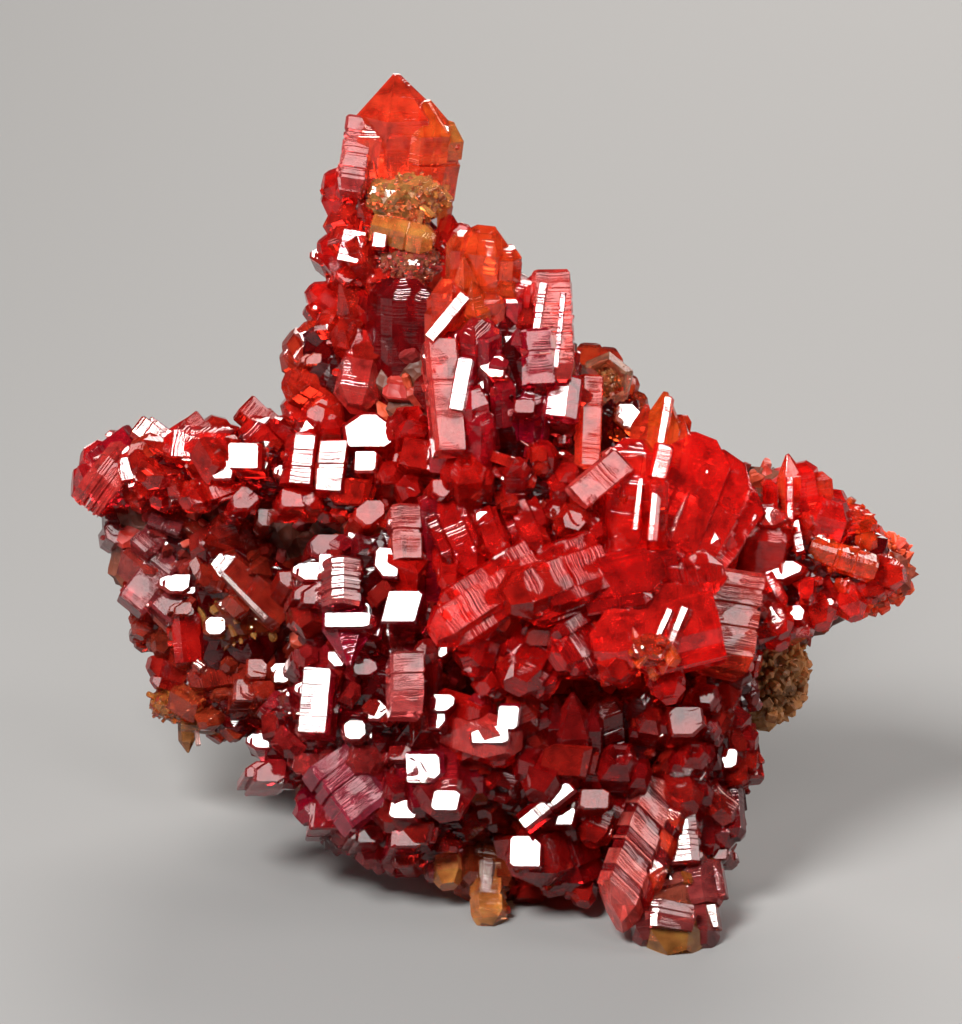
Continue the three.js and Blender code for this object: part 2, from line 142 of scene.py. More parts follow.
# Body colours, linear; three of them hold painted shade or a painted sheen, as noted
BRIGHT = (0.90, 0.012, 0.008)
DEEP = (0.55, 0.005, 0.006)
WINE = (0.48, 0.005, 0.035)
ORANGE = (0.95, 0.12, 0.018)
BROWN = (0.36, 0.045, 0.02)
AMBER = (0.78, 0.25, 0.05)
CREAM = (0.98, 0.58, 0.38)
GOLD = (0.85, 0.40, 0.11)
FLAME = (0.92, 0.055, 0.02)
MAROON = (0.25, 0.003, 0.005)
# Near black: painted shade, put in the gaps between crystals and on the crust lumps under them
PAINTED_SHADE = (0.11, 0.001, 0.002)
# Deep red made darker for the lower clusters: painted shade on the lower part
SHADED_RED = (0.30, 0.004, 0.006)
# Dusky pink red: the crystals' red with a painted pink sheen of light on their faces
MAUVE_SHEEN = (0.42, 0.06, 0.07)
SALMON = (0.80, 0.07, 0.06)
ROSE = (0.62, 0.09, 0.09)
HONEY = (0.95, 0.34, 0.08)
GLOW = (0.98, 0.014, 0.010)
UMBER = (0.10, 0.022, 0.010)
RUSSET = (0.40, 0.05, 0.015)
FAWN = (0.62, 0.22, 0.11)
TAWNY = (0.46, 0.17, 0.05)
OCHRE = (0.30, 0.12, 0.028)
PALE = (0.80, 0.50, 0.46)
RUST = (0.5, 0.03, 0.015)
CORAL = (0.85, 0.12, 0.10)
PLUM = (0.5, 0.05, 0.09)
NOTCH_DARK = (0.26, 0.008, 0.010)
BLACK = (0, 0, 0)

# Colour zones: u, v and radius on the display face, colour and strength. Most are the specimen's own colour;
# the rest are painted shade or painted sheen
ZONES = [
    (-8, 85, 7, FLAME, 0.8), (-2.5, 80, 4, AMBER, 0.5), (-7.6, 60.5, 5.5, MAROON, 0.9),
    (-17, 60, 4, RUSSET, 0.6), (0.3, 69, 4.5, ORANGE, 0.7), (12.5, 58, 4, FLAME, 0.8),
    (18.5, 55, 3, ORANGE, 0.6), (38.5, 40, 5, ORANGE, 0.7), (17, 31, 3, ORANGE, 0.5),
    # The mauve zones are partly a painted pink sheen; the maroon zones from (8, 12) to (-22, 38) are painted
    # shade on the lower part; the near-black zones are painted shade in the gaps between crystals
    (-24.5, 33, 4.5, RUSSET, 0.9), (-31, 23, 5, RUSSET, 0.8), (-14, 19, 6, MAUVE_SHEEN, 0.5),
    (-33, 39, 5, MAUVE_SHEEN, 0.5), (1, 4, 3, AMBER, 0.5), (-40, 48, 4, WINE, 0.5), (8, 12, 12, MAROON, 0.35),
    (-8, 12, 11, MAROON, 0.4), (24, 16, 10, MAROON, 0.35), (5, 28, 7, MAROON, 0.4),
    (-22, 38, 9, MAROON, 0.4), (8.9, 33.2, 3.2, PAINTED_SHADE, 0.9), (2.1, 14.3, 3.4, PAINTED_SHADE, 0.9),
    (14.1, 24.8, 3, PAINTED_SHADE, 0.9), (-10, 62.4, 2.6, PAINTED_SHADE, 0.9),
]

# Each cluster: its two body colours, its crust lumps and its crystals
# A lump is u, v, d and three radii. A crystal is foot u, v, d; tip u, v, d; width; thickness; its turn in
# degrees if it has one; its form if it isn't a plain prism; and, if given, growth steps, smooth, body colour
# and tip colour
CLUSTERS = {}
CLUSTERS["banded_crystal"] = (DEEP, BRIGHT), [
    [17.4, 15.8, -7.4, 2.7, 2.5, 3.4],
], [
    [17.9, 16.8, -6.2, 13.2, 3.9, -1.6, 5.4, 4.8, "stack", 5, CORAL],
    [19.9, 15, -5.2, 17, 6.6, -3, 2.2, 2.4, 10, "prism", 2, FLAME],
    [18.8, 11.6, -4.8, 16.2, 5, -2.8, 1.6, 2.2, 20, "prism", 1, DEEP],
]
CLUSTERS["foot_crystal"] = (DEEP, AMBER), [
    [19.8, 8.8, -8, 4.7, 3.4, 4.7],
], [
    [18.8, 7.4, -8, 19.6, -0.4, -0.6, 6.4, 5.4, 6, "prism", 4, ROSE, HONEY],
    [21.9, 8.8, -6.2, 22.5, 4.6, -3.6, 3.2, 3, 10, "block", ROSE],
    [23, 4.8, -2.8, 23.4, 2.4, -2.8, 1.1, 1.6, "white"],
    [18.7, 2.3, -1, 19.1, 5, -1.2, 4.4, 2.4, "pink", 1, ROSE],
    [17, 6.4, -7, 16.4, 2.9, -4.6, 2.8, 2.4],
]
CLUSTERS["hollow_crystal"] = (FLAME, ORANGE), [
    [12.8, 51.4, -21, 4.9, 5.8, 5.2],
], [
    [10.9, 54.6, -25.5, 12.9, 57.2, -18.4, 5.6, 5, "cup", "smooth", CREAM],
    [10.2, 52, -23.4, 11.2, 61, -22, 3.8, 3.4],
    [12.4, 54, -23.4, 13, 60.6, -22.2, 3.2, 2.8],
    [14, 53, -22.8, 15.4, 57.8, -21.6, 2, 2],
    [12.2, 52.4, -22.4, 12.8, 54.6, -19, 1.8, 1.6, "block"],
    [13.4, 49.5, -20, 14.9, 53.6, -16.2, 3, 2.8, 25, "white"],
    [14.3, 50, -22.4, 15.8, 55.2, -21.2, 3, 2.8],
    [12.4, 53, -23, 13.6, 56.4, -28, 4.2, 3.6],
]
CLUSTERS["spire"] = (DEEP, BRIGHT), [
    [-10.6, 58, -23.6, 8.1, 10.8, 6], [-9.4, 69, -21.2, 6.3, 9, 4.9], [-8.2, 77, -19.6, 4.2, 5, 3.2],
], [
    [-8.2, 77.4, -19.5, -8, 88, -16.6, 8.6, 7, 12, "peak", "smooth", FLAME],
    [-6.2, 77, -19, -5.2, 85.4, -16.4, 6.4, 5.6, 24, "peak", "smooth", FLAME, ORANGE],
    [-10, 76.6, -19.6, -10.4, 84.8, -16.6, 5.6, 5.2, -14, "peak", "smooth", FLAME],
    [-4.8, 76.2, -19.6, -3.6, 83.4, -17.4, 4.6, 4.2, -15, "prism", "smooth", FLAME, AMBER],
    [-7.2, 52.6, -17.6, -7, 67.6, -15.2, 5.8, 4.4, -12, "blade", "smooth", MAROON],
    [-9.8, 54.6, -18.6, -9, 67.6, -16.4, 4.4, 4, -24, "blade", "smooth", MAROON],
    [-13.4, 75.8, -19, -12, 83.6, -17.6, 2.8, 2.6, "pink", 5, "smooth", ROSE],
    [-11.6, 76.4, -20.6, -13, 77.2, -16.2, 2.9, 2.7, "pink"],
    [-12.8, 73.5, -20.6, -15, 78.4, -19, 3.4, 3, -20],
    [-13, 68.8, -17.2, -12.4, 72.2, -17, 2.6, 2.4, "white"],
    [-11.8, 66.9, -21.6, -13.2, 68, -17, 2.6, 2.2, "pink"],
    [-10.8, 72.8, -16.6, -4.6, 71.2, -15.6, 3.2, 2.8, 32, "prism", "smooth", 2, AMBER, HONEY],
    [-10, 70.4, -16.6, -9.8, 73.2, -16.2, 1.5, 1.2, "white"],
    [-4.4, 71.5, -20.8, -3.3, 78.6, -19.2, 2.2, 2.2],
    [-5, 68.8, -21.4, -3.2, 74.2, -20, 1.8, 2.4, 20, "blade"],
    [-4.6, 66, -22, -1.6, 73.1, -20.2, 2.6, 2.6],
    [-13.4, 68.4, -21.2, -16, 71.6, -20.4, 3, 2.8],
    [-13.6, 63.6, -22.6, -17.2, 66.8, -21.4, 3.2, 3.2, 20],
    [-14, 59, -24.2, -18, 62.8, -22.8, 3.8, 3.6],
    [-14.4, 55, -25.2, -18.6, 58.9, -24.2, 3.8, 3.6, 15],
    [-15, 51.6, -26, -19.5, 55.7, -25.2, 4, 3.8],
    [-9, 64, -21.4, -12.4, 65.4, -18, 3, 2.6],
    [-12.2, 58.2, -22.4, -12.9, 63.2, -18.8, 2.8, 2.6, "pink"],
    [-11.4, 61.4, -19.4, -12.8, 54.4, -15.4, 4.6, 4.2, 10, "prism", "smooth", GLOW, SALMON],
    [-14.6, 52.8, -24.4, -17.6, 53.7, -20.8, 3.8, 3.4],
    [-7.4, 58, -23, -6.6, 64, -19.4, 3.6, 3.2],
    [-9, 60.6, -25, -8, 65, -30.4, 4.2, 3.8],
    [-12, 55.6, -26.6, -14.2, 59.4, -31.6, 4.6, 4.2, 30],
    [-6.4, 55.6, -26, -3.8, 60.4, -30.6, 4.2, 3.8],
    [-9, 70, -22.4, -9.6, 75, -26.6, 3.6, 3.2],
    [-8.4, 77, -20, -9, 82.6, -23, 3.4, 3.2],
]
CLUSTERS["centre_tower"] = (BRIGHT, WINE), [
    [2.4, 56, -9.4, 8.1, 11, 5.5], [0.8, 64.4, -8.4, 3.8, 5.2, 3.6],
], [
    [0.2, 65.2, -8, 0.6, 72.1, -5.6, 5.8, 5, -8],
    [-2.9, 58.8, -7.6, -2.9, 67.4, -5.6, 4, 3.8, -28],
    [-4.6, 60.8, -5.2, -1.2, 65.4, -4.8, 1.3, 2.8, "white"],
    [-4.1, 49.4, -7, -4.2, 60.8, -5, 3.2, 3.2, -12, "pink", "smooth", SALMON],
    [0.9, 60, -7, 1, 65.6, -4.4, 2.5, 2.8, 5, "block"],
    [3.1, 59.6, -7, 3.1, 65.5, -5.2, 2.5, 2.8, -10, "block"],
    [7.2, 56.4, -7.8, 7.2, 67.8, -7.4, 3.9, 3.6, "pink", 6, "smooth", SALMON],
    [6, 61.2, -5.6, 6.4, 66.8, -5.4, 0.9, 1, "white", 2],
    [7.9, 58, -5.6, 8.3, 65.8, -5.4, 0.7, 1, "white", 3],
    [5.2, 60, -8.4, 5.5, 67.7, -7.2, 2.4, 2.4],
    [0.4, 56.4, -6.4, 0.4, 62, -2.8, 3.5, 3.2, 4, "block"],
    [-1.1, 54.6, -6.4, -1.1, 59, -3.4, 1.6, 2.2, -10, "white"],
    [1.2, 54.4, -6.4, 1.2, 58.6, -3, 2.5, 2.4, 12, "white"],
    [5.3, 57, -7.6, 5.4, 62, -4.9, 3, 2.8, "pink"],
    [2.6, 53, -6.6, 2.4, 57.4, -3.9, 2.3, 2.3, 20],
    [5, 51.6, -7.4, 5.3, 56.4, -4.6, 3.2, 3, -20],
    [-1.3, 48.2, -6, -1.3, 56.4, -3, 4.7, 4.2, -24, "prism", 3],
    [8.4, 53, -5.8, 8.7, 57.4, -5.6, 3, 2.6, "white"],
    [10.2, 48, -10.4, 11, 57.4, -8.8, 2.6, 2.6, 22, "pink"],
    [2.6, 60.6, -11, 3.4, 66, -15, 4.2, 3.8],
    [7, 54.6, -12.4, 8.4, 60, -16.6, 4.2, 3.8],
    [-1.6, 56.6, -12, -2.4, 62.4, -16.4, 4.4, 4],
]
CLUSTERS["right_blades"] = (BRIGHT, BRIGHT), [
    [19.4, 42.2, -11.4, 7.8, 6.4, 4.4],
], [
    [17, 43.4, -7.4, 18.8, 56, -8, 4.6, 3, 14, "spear", FLAME, ORANGE],
    [19, 45, -8.8, 20.3, 53.7, -10, 2.2, 2.4, 20, "prism", 2],
    [18.5, 40.5, -6, 22.4, 51.6, -8.4, 6.6, 2.8, 10, "blade", "smooth", GLOW],
    [20.5, 40, -6.4, 25, 49.6, -9.2, 6.4, 2.8, 14, "blade", "smooth", GLOW],
    [22, 39.5, -7.6, 26.8, 46.8, -10.4, 4.8, 3, 14, "blade", "smooth", GLOW],
    [20.6, 45.4, -8.8, 23.8, 40.2, -6.7, 2, 2, "prism", "smooth", GLOW],
    [22.6, 43.6, -9.6, 25.4, 40.2, -8, 2.7, 2.6, "prism", "smooth", GLOW],
    [18.6, 50.6, -7.2, 18.9, 55.4, -6.6, 0.9, 1.2, "white"],
    [18.2, 47.6, -6.4, 18.4, 50.6, -4.6, 2, 1.6, "white"],
    [16.1, 42, -5, 16.1, 47.2, -4, 0.5, 1, "white"],
    [17.6, 41.2, -5, 17.6, 45.8, -3.4, 1, 1.2, "white"],
    [15, 39, -5.8, 15.6, 51.3, -5.2, 4.2, 3, -12, "blade", "smooth", GLOW],
    [13.6, 39.8, -6.4, 13.8, 48.6, -5.4, 3, 2.8, -20],
    [17.5, 40.4, -5.2, 17.6, 47.6, -3.8, 1.7, 2.6, 18, "blade"],
    [18.4, 44.2, -8, 20.6, 40, -5.8, 2.6, 2.4, "prism", "smooth", GLOW],
    [19.6, 43.4, -12, 21.6, 48, -16.4, 4.8, 4.2],
    [23.4, 41, -12.6, 26.6, 43.6, -17, 4.4, 4],
    [15.6, 43.4, -12, 15.6, 48.6, -16.2, 4.2, 3.8],
]
CLUSTERS["middle_ledge"] = (BRIGHT, DEEP), [
    [7, 34, -4.2, 10.8, 5.2, 4.7], [16, 33.6, -4, 7.8, 6.5, 4.7],
], [
    [5.8, 38.6, 0, -4.8, 31.8, 2, 4.9, 4.2, 10],
    [12, 38.8, -0.6, 2.4, 35.2, 3.2, 5.6, 4.8, 12],
    [9.6, 36.2, -0.6, 3.8, 34.2, 2.4, 3.6, 3.6],
    [3, 29.4, -4, -1.9, 30.4, 1.6, 4.2, 3.8],
    [2, 27.8, -4, 0.2, 26.6, 0.6, 3, 2.8],
    [5.8, 31, -3.4, 3.4, 26.8, 2, 5, 4.4],
    [10.4, 36.8, 0.2, 18.4, 38.3, 1.6, 4.5, 3.4, "blade"],
    [16.8, 37, -0.8, 24.3, 38.3, -0.8, 4.1, 3.4, 10, "blade"],
    [23.4, 33.4, -0.6, 11, 30.6, 2, 6, 3.6, 8, "blade", GLOW],
    [22.6, 34.6, -1.2, 14.6, 35, 1.4, 4, 3, "blade", "smooth", GLOW],
    [19.4, 30.6, 0.2, 20.6, 34.4, 1.2, 1.2, 1.4, "white"],
    [18, 31, 0.4, 19, 34.2, 1.4, 0.6, 1.4, "white"],
    [17.2, 36.4, -0.6, 17.8, 39.2, 1, 0.9, 1.4, "white"],
    [11.2, 31.6, -1, 7.5, 29.3, 3.2, 4.5, 3.8],
    [13, 29.2, -2.4, 13.8, 28.4, 3.2, 3.9, 3.8],
    [16.4, 30, -2, 16.8, 30.2, 3.6, 3, 2.8],
    [18.2, 29.6, -3, 19, 25.4, 1, 3.2, 2.8],
]
# Its darker body colour is painted shade on the lower part
CLUSTERS["front_columns"] = (WINE, SHADED_RED), [
    [-9, 35.4, -10, 9.4, 8.3, 5.2], [-9.4, 22.6, -10.4, 9.4, 9.2, 6.3], [-5.6, 14, -11, 7.2, 5.8, 4.9],
    [-13, 13.4, -14.6, 4.7, 4.7, 4], [-16.6, 21.8, -13.4, 5.8, 6, 5],
], [
    [-13.7, 34.2, -5, -13.9, 39.2, -5, 4, 3.6, "white", 6, ROSE],
    [-15, 36, -9, -15.2, 38.8, -4.2, 1.8, 2.4, "white"],
    [-13.2, 34.6, -6.6, -13, 28.8, -2.4, 5.3, 4.4, "spear", "smooth", WINE],
    [-13, 32.4, -6.8, -13, 33.2, -1.8, 5, 1.6, "white"],
    [-7.6, 34, -8.6, -7.2, 40, -4.4, 4.4, 4, -30, "block", "smooth", BRIGHT],
    [-9.4, 34.2, -8.4, -9.4, 39, -3.8, 2.5, 3.2, "white", 2],
    [-7.8, 31, -8, -7.8, 34.6, -1.8, 3.8, 3.4, "white"],
    [-5.2, 33, -7.4, -5, 45.4, -5, 3.2, 3.2, 25],
    [-7.7, 38.8, -5.8, -7.6, 44.4, -5.8, 3, 3.4, "pink", 1, SALMON],
    [-7.7, 23.4, -1, -7.5, 29.7, -1, 3.3, 3.8, "pink", 2, ROSE],
    [-5.2, 25.2, -5.4, -5.2, 31.2, -1.4, 2.4, 2.4, 20],
    [-15.9, 21.4, -6.4, -15.6, 28, -6.4, 3.1, 3.4, "white", 1],
    [-14.5, 26.6, -10, -14.4, 29.4, -5.8, 1.6, 1.6, "white"],
    [-3.9, 24.4, -6.4, -3.8, 25, -0.6, 2.4, 1.8, "white"],
    [-4.3, 22, -6, -4.3, 23.4, -0.8, 1.8, 2, "white"],
    [-10.1, 20.6, -8, -10.2, 24.2, -3.2, 2, 2, "white"],
    [-15, 19.4, -8, -10.8, 13.6, -6.6, 6.2, 3.8, "mauve", 3, PLUM],
    [-8.6, 19.4, -10, -8.2, 15.2, -4.6, 3.2, 3],
    [-7.8, 15.4, -10, -7.7, 14.4, -4.4, 2.9, 2, -10, "white"],
    [-7.1, 12.2, -12, -7.1, 12, -5.6, 3.4, 3, "pink"],
    [-3.9, 21, -8, -3.6, 14, -2.4, 6.6, 5.6, 8],
    [-5.2, 17.6, -7, -5.4, 18.7, -1.6, 3.8, 3.2, "white"],
    [-16, 15.2, -16, -17.7, 13.6, -11.6, 3, 2.8],
    [-14.6, 13, -16, -15.2, 13.8, -10.2, 3.6, 3.2, "pink"],
    [-13, 14.2, -14, -13.5, 13.8, -9.4, 2, 2.2, "white"],
    [-12.4, 14, -16, -14.4, 11.2, -12, 3, 2.8],
    [-11.6, 12.6, -15.4, -10.8, 8.8, -11.6, 3.2, 3],
    [-8.8, 11.4, -14.4, -8.2, 7.8, -11.4, 3.6, 3.2],
    [-3.8, 12, -13.2, -3, 6.4, -10.2, 3.7, 3.5, "prism", ROSE, HONEY],
    [-3.4, 23, -6, 3.2, 21, 0, 5, 4.6, 20, "prism", BRIGHT, SALMON],
    [1, 20.6, -3, 0.9, 21.9, 0.6, 4, 1.9, "white"],
    [2.6, 22.6, -2.4, 2.8, 23.8, 0.4, 2.2, 2.6, "white"],
    [-3.2, 14, -5, -3.4, 15.4, -1, 2.9, 2.2, "white"],
    [-1, 22.6, -5.4, 0, 25.3, -1, 2.4, 2.2],
    [-16.4, 27.8, -13.4, -17.6, 30, -8.6, 2.6, 2.4],
    [-15.4, 35.4, -13, -16.8, 37.4, -9, 2.4, 2.6, 20, "pink"],
    [-14.4, 38.6, -13, -15.5, 40.4, -8.4, 3.2, 2.9, "pink"],
    [-11, 28.8, -9.4, -11.4, 28.6, -4.6, 2.6, 1.8, "pink"],
]
CLUSTERS["central_prisms"] = (BRIGHT, DEEP), [
    [3.4, 44.6, -8, 9.6, 6.3, 4.7],
], [
    [-1.1, 44.2, -6.6, -1.2, 49, -1.6, 4, 3.6, 5],
    [-3.4, 46, -7.6, -3.8, 46.4, -2.8, 1.9, 1.9, "pink"],
    [1.2, 49.6, -4.8, 4.3, 48.6, -3.2, 1.2, 3, "blade"],
    [3.5, 44, -6.6, 3.5, 49.2, -2.8, 3.3, 3],
    [3.2, 46, -6.4, 6, 39.8, -1.6, 3.1, 2.9],
    [0.2, 45, -6.2, 2, 39.4, -1.2, 2.7, 2.5, 10],
    [-4, 45.6, -6.2, -0.6, 38, -1, 3.4, 3],
    [-3.4, 41, -6, -2.9, 36.4, -0.9, 2.5, 2.3],
    [7.9, 42.6, -7, 8, 47.2, -3.8, 2.2, 2.2],
    [8.6, 45.4, -7.2, 8.9, 48.4, -3.4, 2.7, 2.4],
    [9, 41.6, -8, 9.4, 43.4, -2, 4.4, 3.6],
    [6.2, 44.5, -8, 6.4, 51, -5.4, 3.2, 3],
    [9.4, 44.9, -4, 14.2, 49.2, -4.4, 3, 1.8, "mauve", "smooth", SALMON],
    [10.4, 45.4, -7, 12, 41.2, -3.2, 2.2, 2.2],
]
CLUSTERS["white_row"] = (DEEP, BRIGHT), [
    [-12.2, 48, -16.2, 7.8, 4.9, 4.5],
], [
    [-11.4, 50.6, -17, -11.4, 52.4, -11, 4.9, 3.7, "white"],
    [-18.2, 46.4, -15.2, -17.8, 51.6, -15, 3.4, 3.5, "white", 2],
    [-14.8, 45.6, -13, -14.5, 50.9, -12.8, 3, 3.3, "white", 1],
    [-11.4, 46.2, -15.4, -11.4, 49, -10, 2.3, 2.2, "white"],
    [-16.6, 49.6, -18.4, -17.8, 53.4, -16.8, 2.6, 2.4],
    [-14.4, 49.6, -18, -15, 53.6, -16, 2.4, 2.4],
    [-7.4, 49, -15, -6.8, 53.9, -9.4, 4.4, 3.9, 10],
    [-6.6, 48, -14.4, -6, 49.8, -7.6, 3.5, 3.3, 10, "block"],
    [-9, 46, -14.4, -9, 48.2, -8.8, 2.5, 2.5],
    [-7.8, 46, -14, -6.8, 46.4, -7.8, 3, 2.6],
    [-10.8, 44, -15.4, -11, 43.8, -8.6, 3.1, 2.8, "pink"],
    [-17, 45.6, -18.4, -18.8, 45.4, -13.4, 2.7, 2.2, "pink"],
    [-15.2, 45.4, -17.4, -16.8, 45.2, -13.4, 2.1, 2, "pink"],
]
CLUSTERS["right_arm"] = (BRIGHT, GLOW), [
    [30.6, 38, -17, 7.6, 5.8, 4.9], [37.2, 38.6, -18.8, 5.4, 5, 3.4], [25.6, 33, -11.6, 4, 5.2, 4.7],
], [
    [27.8, 37.2, -15, 28.8, 44.2, -11.6, 6.8, 5.4, 6, "prism", "smooth", BRIGHT],
    [28.8, 41, -14.6, 28.9, 43.6, -9.6, 3.8, 2, "white"],
    [25.2, 39.2, -9.8, 27.2, 43.8, -9.6, 1.5, 1.6, "white", 5, SALMON],
    [25.4, 39.4, -14, 26.5, 45.3, -11.8, 3.2, 3],
    [29.2, 42, -16.4, 29.1, 47.3, -15.4, 1.5, 2.2, "blade"],
    [32, 41.4, -16.8, 31, 49.8, -15.2, 2.8, 2.4, 10, "spear", "smooth", FLAME],
    [33.8, 41.2, -16.8, 32.2, 49, -15.6, 3, 2.4, "blade", "smooth", GLOW],
    [34.6, 41.6, -17.4, 34, 48, -16.6, 2.4, 2, 12, "blade", "smooth", FLAME],
    [31.3, 43, -13.6, 31.1, 47.4, -13.6, 0.8, 1, "white", 2],
    [32.4, 39.8, -12.6, 31.6, 43, -12.8, 0.9, 1, "white", 1],
    [33.6, 38.6, -17.4, 35.6, 45.4, -15.8, 5.2, 4.2, 10, "prism", "smooth", GLOW],
    [35.4, 41, -19, 36, 46.3, -19, 3, 2.8],
    [37, 40.4, -19, 38.1, 44.8, -19, 3, 2.8, 20],
    [38.4, 39.4, -18.8, 40, 42.8, -19, 3, 2.8],
    [38.2, 37.4, -18, 42.8, 37.8, -16.6, 3.4, 3],
    [33, 40.4, -14.6, 39.8, 38.3, -15, 2.7, 2.6, 30, "pink", 2],
    [30.4, 37.2, -17, 30.6, 38.2, -11.4, 3.7, 2, "white"],
    [32.2, 35.6, -17, 32.7, 36.4, -11.8, 1.5, 2.2, "white"],
    [31.4, 33.4, -17, 31.5, 33.9, -11.4, 2, 1.6, "white"],
    [28.4, 34.8, -9.6, 30.2, 32.4, -9.4, 1.1, 1.2, "white"],
    [30.6, 34.6, -17, 31.3, 32.8, -12.6, 3.2, 2.8, 10, "pink"],
    [23.2, 27.6, -8.6, 25.2, 37.8, -8.8, 5.8, 4.8, "pink", 4, FLAME, SALMON],
    [24, 29.8, -6.6, 27.4, 31.4, -5.4, 1, 1.2, "white"],
    [25.4, 28, -6.6, 26.4, 29, -5.4, 1.2, 1.2, "white"],
    [28, 36.8, -12.6, 30.6, 31.6, -9.6, 2.8, 2.6],
    [28, 34.6, -14, 30.2, 30.4, -11, 3.2, 3],
    [33.2, 37, -17.4, 34.6, 32.6, -14.4, 3.6, 3.2],
    [36.4, 37.4, -18, 37.6, 33.2, -16, 3.4, 3.2],
    [32.8, 39.6, -20, 34.8, 41.8, -25.6, 4.6, 4.2],
    [28.4, 39, -19.4, 28.6, 42.8, -24.6, 4.6, 4.2],
]
# Its darker body colour is painted shade on the lower part
CLUSTERS["lower_right"] = (SHADED_RED, DEEP), [
    [9.6, 18.4, -9.2, 11, 7.8, 6.3], [21.6, 17.8, -12, 5.6, 9, 5.6], [8.6, 10.6, -12.4, 6.9, 4.3, 4.5],
    [1.2, 10.4, -13, 3.4, 3.4, 3.4], [23.6, 26.4, -12.6, 4.8, 4.8, 3.8],
], [
    [9.4, 20, -4.6, 9.4, 25.8, -0.8, 4.8, 4.4, "spear"],
    [12.9, 20.4, -5.4, 12.5, 25.5, -2, 3.6, 3.4, 20, "prism", 2],
    [5.2, 21, -6, 3.6, 25.4, -0.6, 4.6, 4],
    [3.4, 19.4, -7.6, 2.2, 15.6, -2.6, 4.6, 4],
    [7.8, 20.6, -5.6, 5.4, 15.8, -1.6, 5, 4.4, 10],
    [6, 12.6, -6.4, 9.2, 16.8, -3, 2.4, 2.4, "white"],
    [8.6, 14.6, -7, 8.5, 13.7, -3, 1.8, 1.8, "white"],
    [10, 10.8, -10.6, 3.6, 8.8, -4.8, 6.4, 5.6],
    [5, 9.6, -9, 4.5, 10.2, -3.4, 3.3, 3.4, "white"],
    [13.4, 17, -7.4, 13.6, 19.8, -1.6, 4.8, 4.2],
    [13.2, 16.2, -7.6, 10.9, 10.8, -4.8, 3.5, 3.3],
    [9.8, 18.2, -8.4, 10.2, 15.6, -4.4, 3.6, 3.2],
    [16.6, 21, -7, 17, 23.8, -2.6, 3.3, 3.1],
    [15.4, 22, -6.6, 15.8, 26, -3, 2.7, 2.5],
    [20.2, 21, -7, 20.6, 23.2, -1.8, 3.5, 3.1, "pink"],
    [21, 17.2, -8, 21.4, 20.4, -3, 3.5, 3.3],
    [22.6, 20.8, -8.6, 23, 22.6, -4.4, 2.3, 2.3],
    [24.8, 17.8, -13.4, 24.9, 24.8, -9.8, 4.5, 4],
    [26, 21.6, -14, 27, 16.9, -10.6, 2.9, 2.7, 20, "pink"],
    [24, 17.2, -11.4, 24.6, 19.4, -7.2, 2.1, 2.1, "white"],
    [19.6, 17.8, -7.6, 20.6, 14.4, -3.6, 4.2, 3.8],
    [24, 16, -11, 24.3, 10.2, -8.4, 3.5, 3.3, 10, "prism", 2],
    [22.2, 16.2, -10, 22.8, 9.6, -7.6, 2.7, 2.5],
    [20, 16, -8.6, 20.4, 8.6, -5.2, 3.5, 3.2, -4, "white", 2],
    [22.2, 24.2, -9.6, 22.5, 25.8, -4.4, 3, 2.8],
    [0.2, 5.6, -9.2, 0.6, 9, -9.2, 1.4, 1.6, "pink", 1, PALE],
    [0.6, 11.4, -12.6, 0.9, 2.5, -7.4, 3.8, 3.5, -10, "prism", 4, RUSSET, HONEY],
    [10.6, 9, -11.4, 10.2, 4.8, -7.4, 2.8, 2.4],
    [24, 18.6, -15, 25.4, 19.4, -20, 4.8, 4.4],
    [22, 13, -13.4, 23, 12.2, -18, 4.6, 4.2],
]
CLUSTERS["left_shelf"] = (BRIGHT, DEEP), [
    [-22.6, 48.8, -21.6, 5.4, 4.3, 4.7], [-29.6, 48.7, -25.6, 6.5, 3.6, 4.3],
    [-35.8, 48, -29, 4.3, 3.1, 3.1],
], [
    [-36.4, 46.4, -25.8, -39.2, 48.8, -25.8, 7, 3.6, "pink", 5, SALMON],
    [-34.6, 48.5, -22.8, -31.6, 48.2, -22.6, 0.6, 1, "white"],
    [-30, 49.6, -20.8, -28.2, 49.3, -20.8, 0.9, 1, "white"],
    [-35.4, 51.8, -28.2, -39.8, 48.6, -29.4, 2.4, 3.4, "blade"],
    [-37, 48, -29.6, -39.4, 43.9, -29.6, 3.2, 3],
    [-31, 48.8, -25.4, -35.6, 50.4, -25.6, 4.4, 4, "prism", "smooth", FLAME],
    [-24.8, 50.4, -20.8, -31.8, 50.8, -23.2, 4.5, 4, 10, "prism", "smooth", GLOW],
    [-20.6, 49.8, -20.6, -23.8, 53, -20.4, 4.4, 4],
    [-19.8, 49.8, -21, -21, 53.1, -20.6, 3, 2.8],
    [-22.6, 48.8, -20.4, -23.6, 49.7, -15, 3.3, 2.8, "white"],
    [-31, 48.2, -25, -36.6, 48.5, -26.4, 2.8, 2.8],
    [-25.4, 48, -22.6, -26, 48.2, -17.4, 2.2, 2, "white"],
    [-33.4, 46.8, -28.4, -38, 46, -28.4, 3, 2.6],
    [-30.6, 47.2, -26.6, -33, 44.9, -23.4, 3, 2.8, 20],
    [-26.6, 47, -24.4, -29.8, 44.8, -20, 2.9, 2.7],
    [-22.8, 46.6, -21.4, -23.6, 45.3, -15.8, 2.9, 2.5, "pink"],
    [-30, 49.6, -27.8, -31, 51.2, -33.2, 4.8, 4.2],
    [-35.6, 48.8, -30.4, -38, 49.8, -34.6, 4.2, 3.8],
]
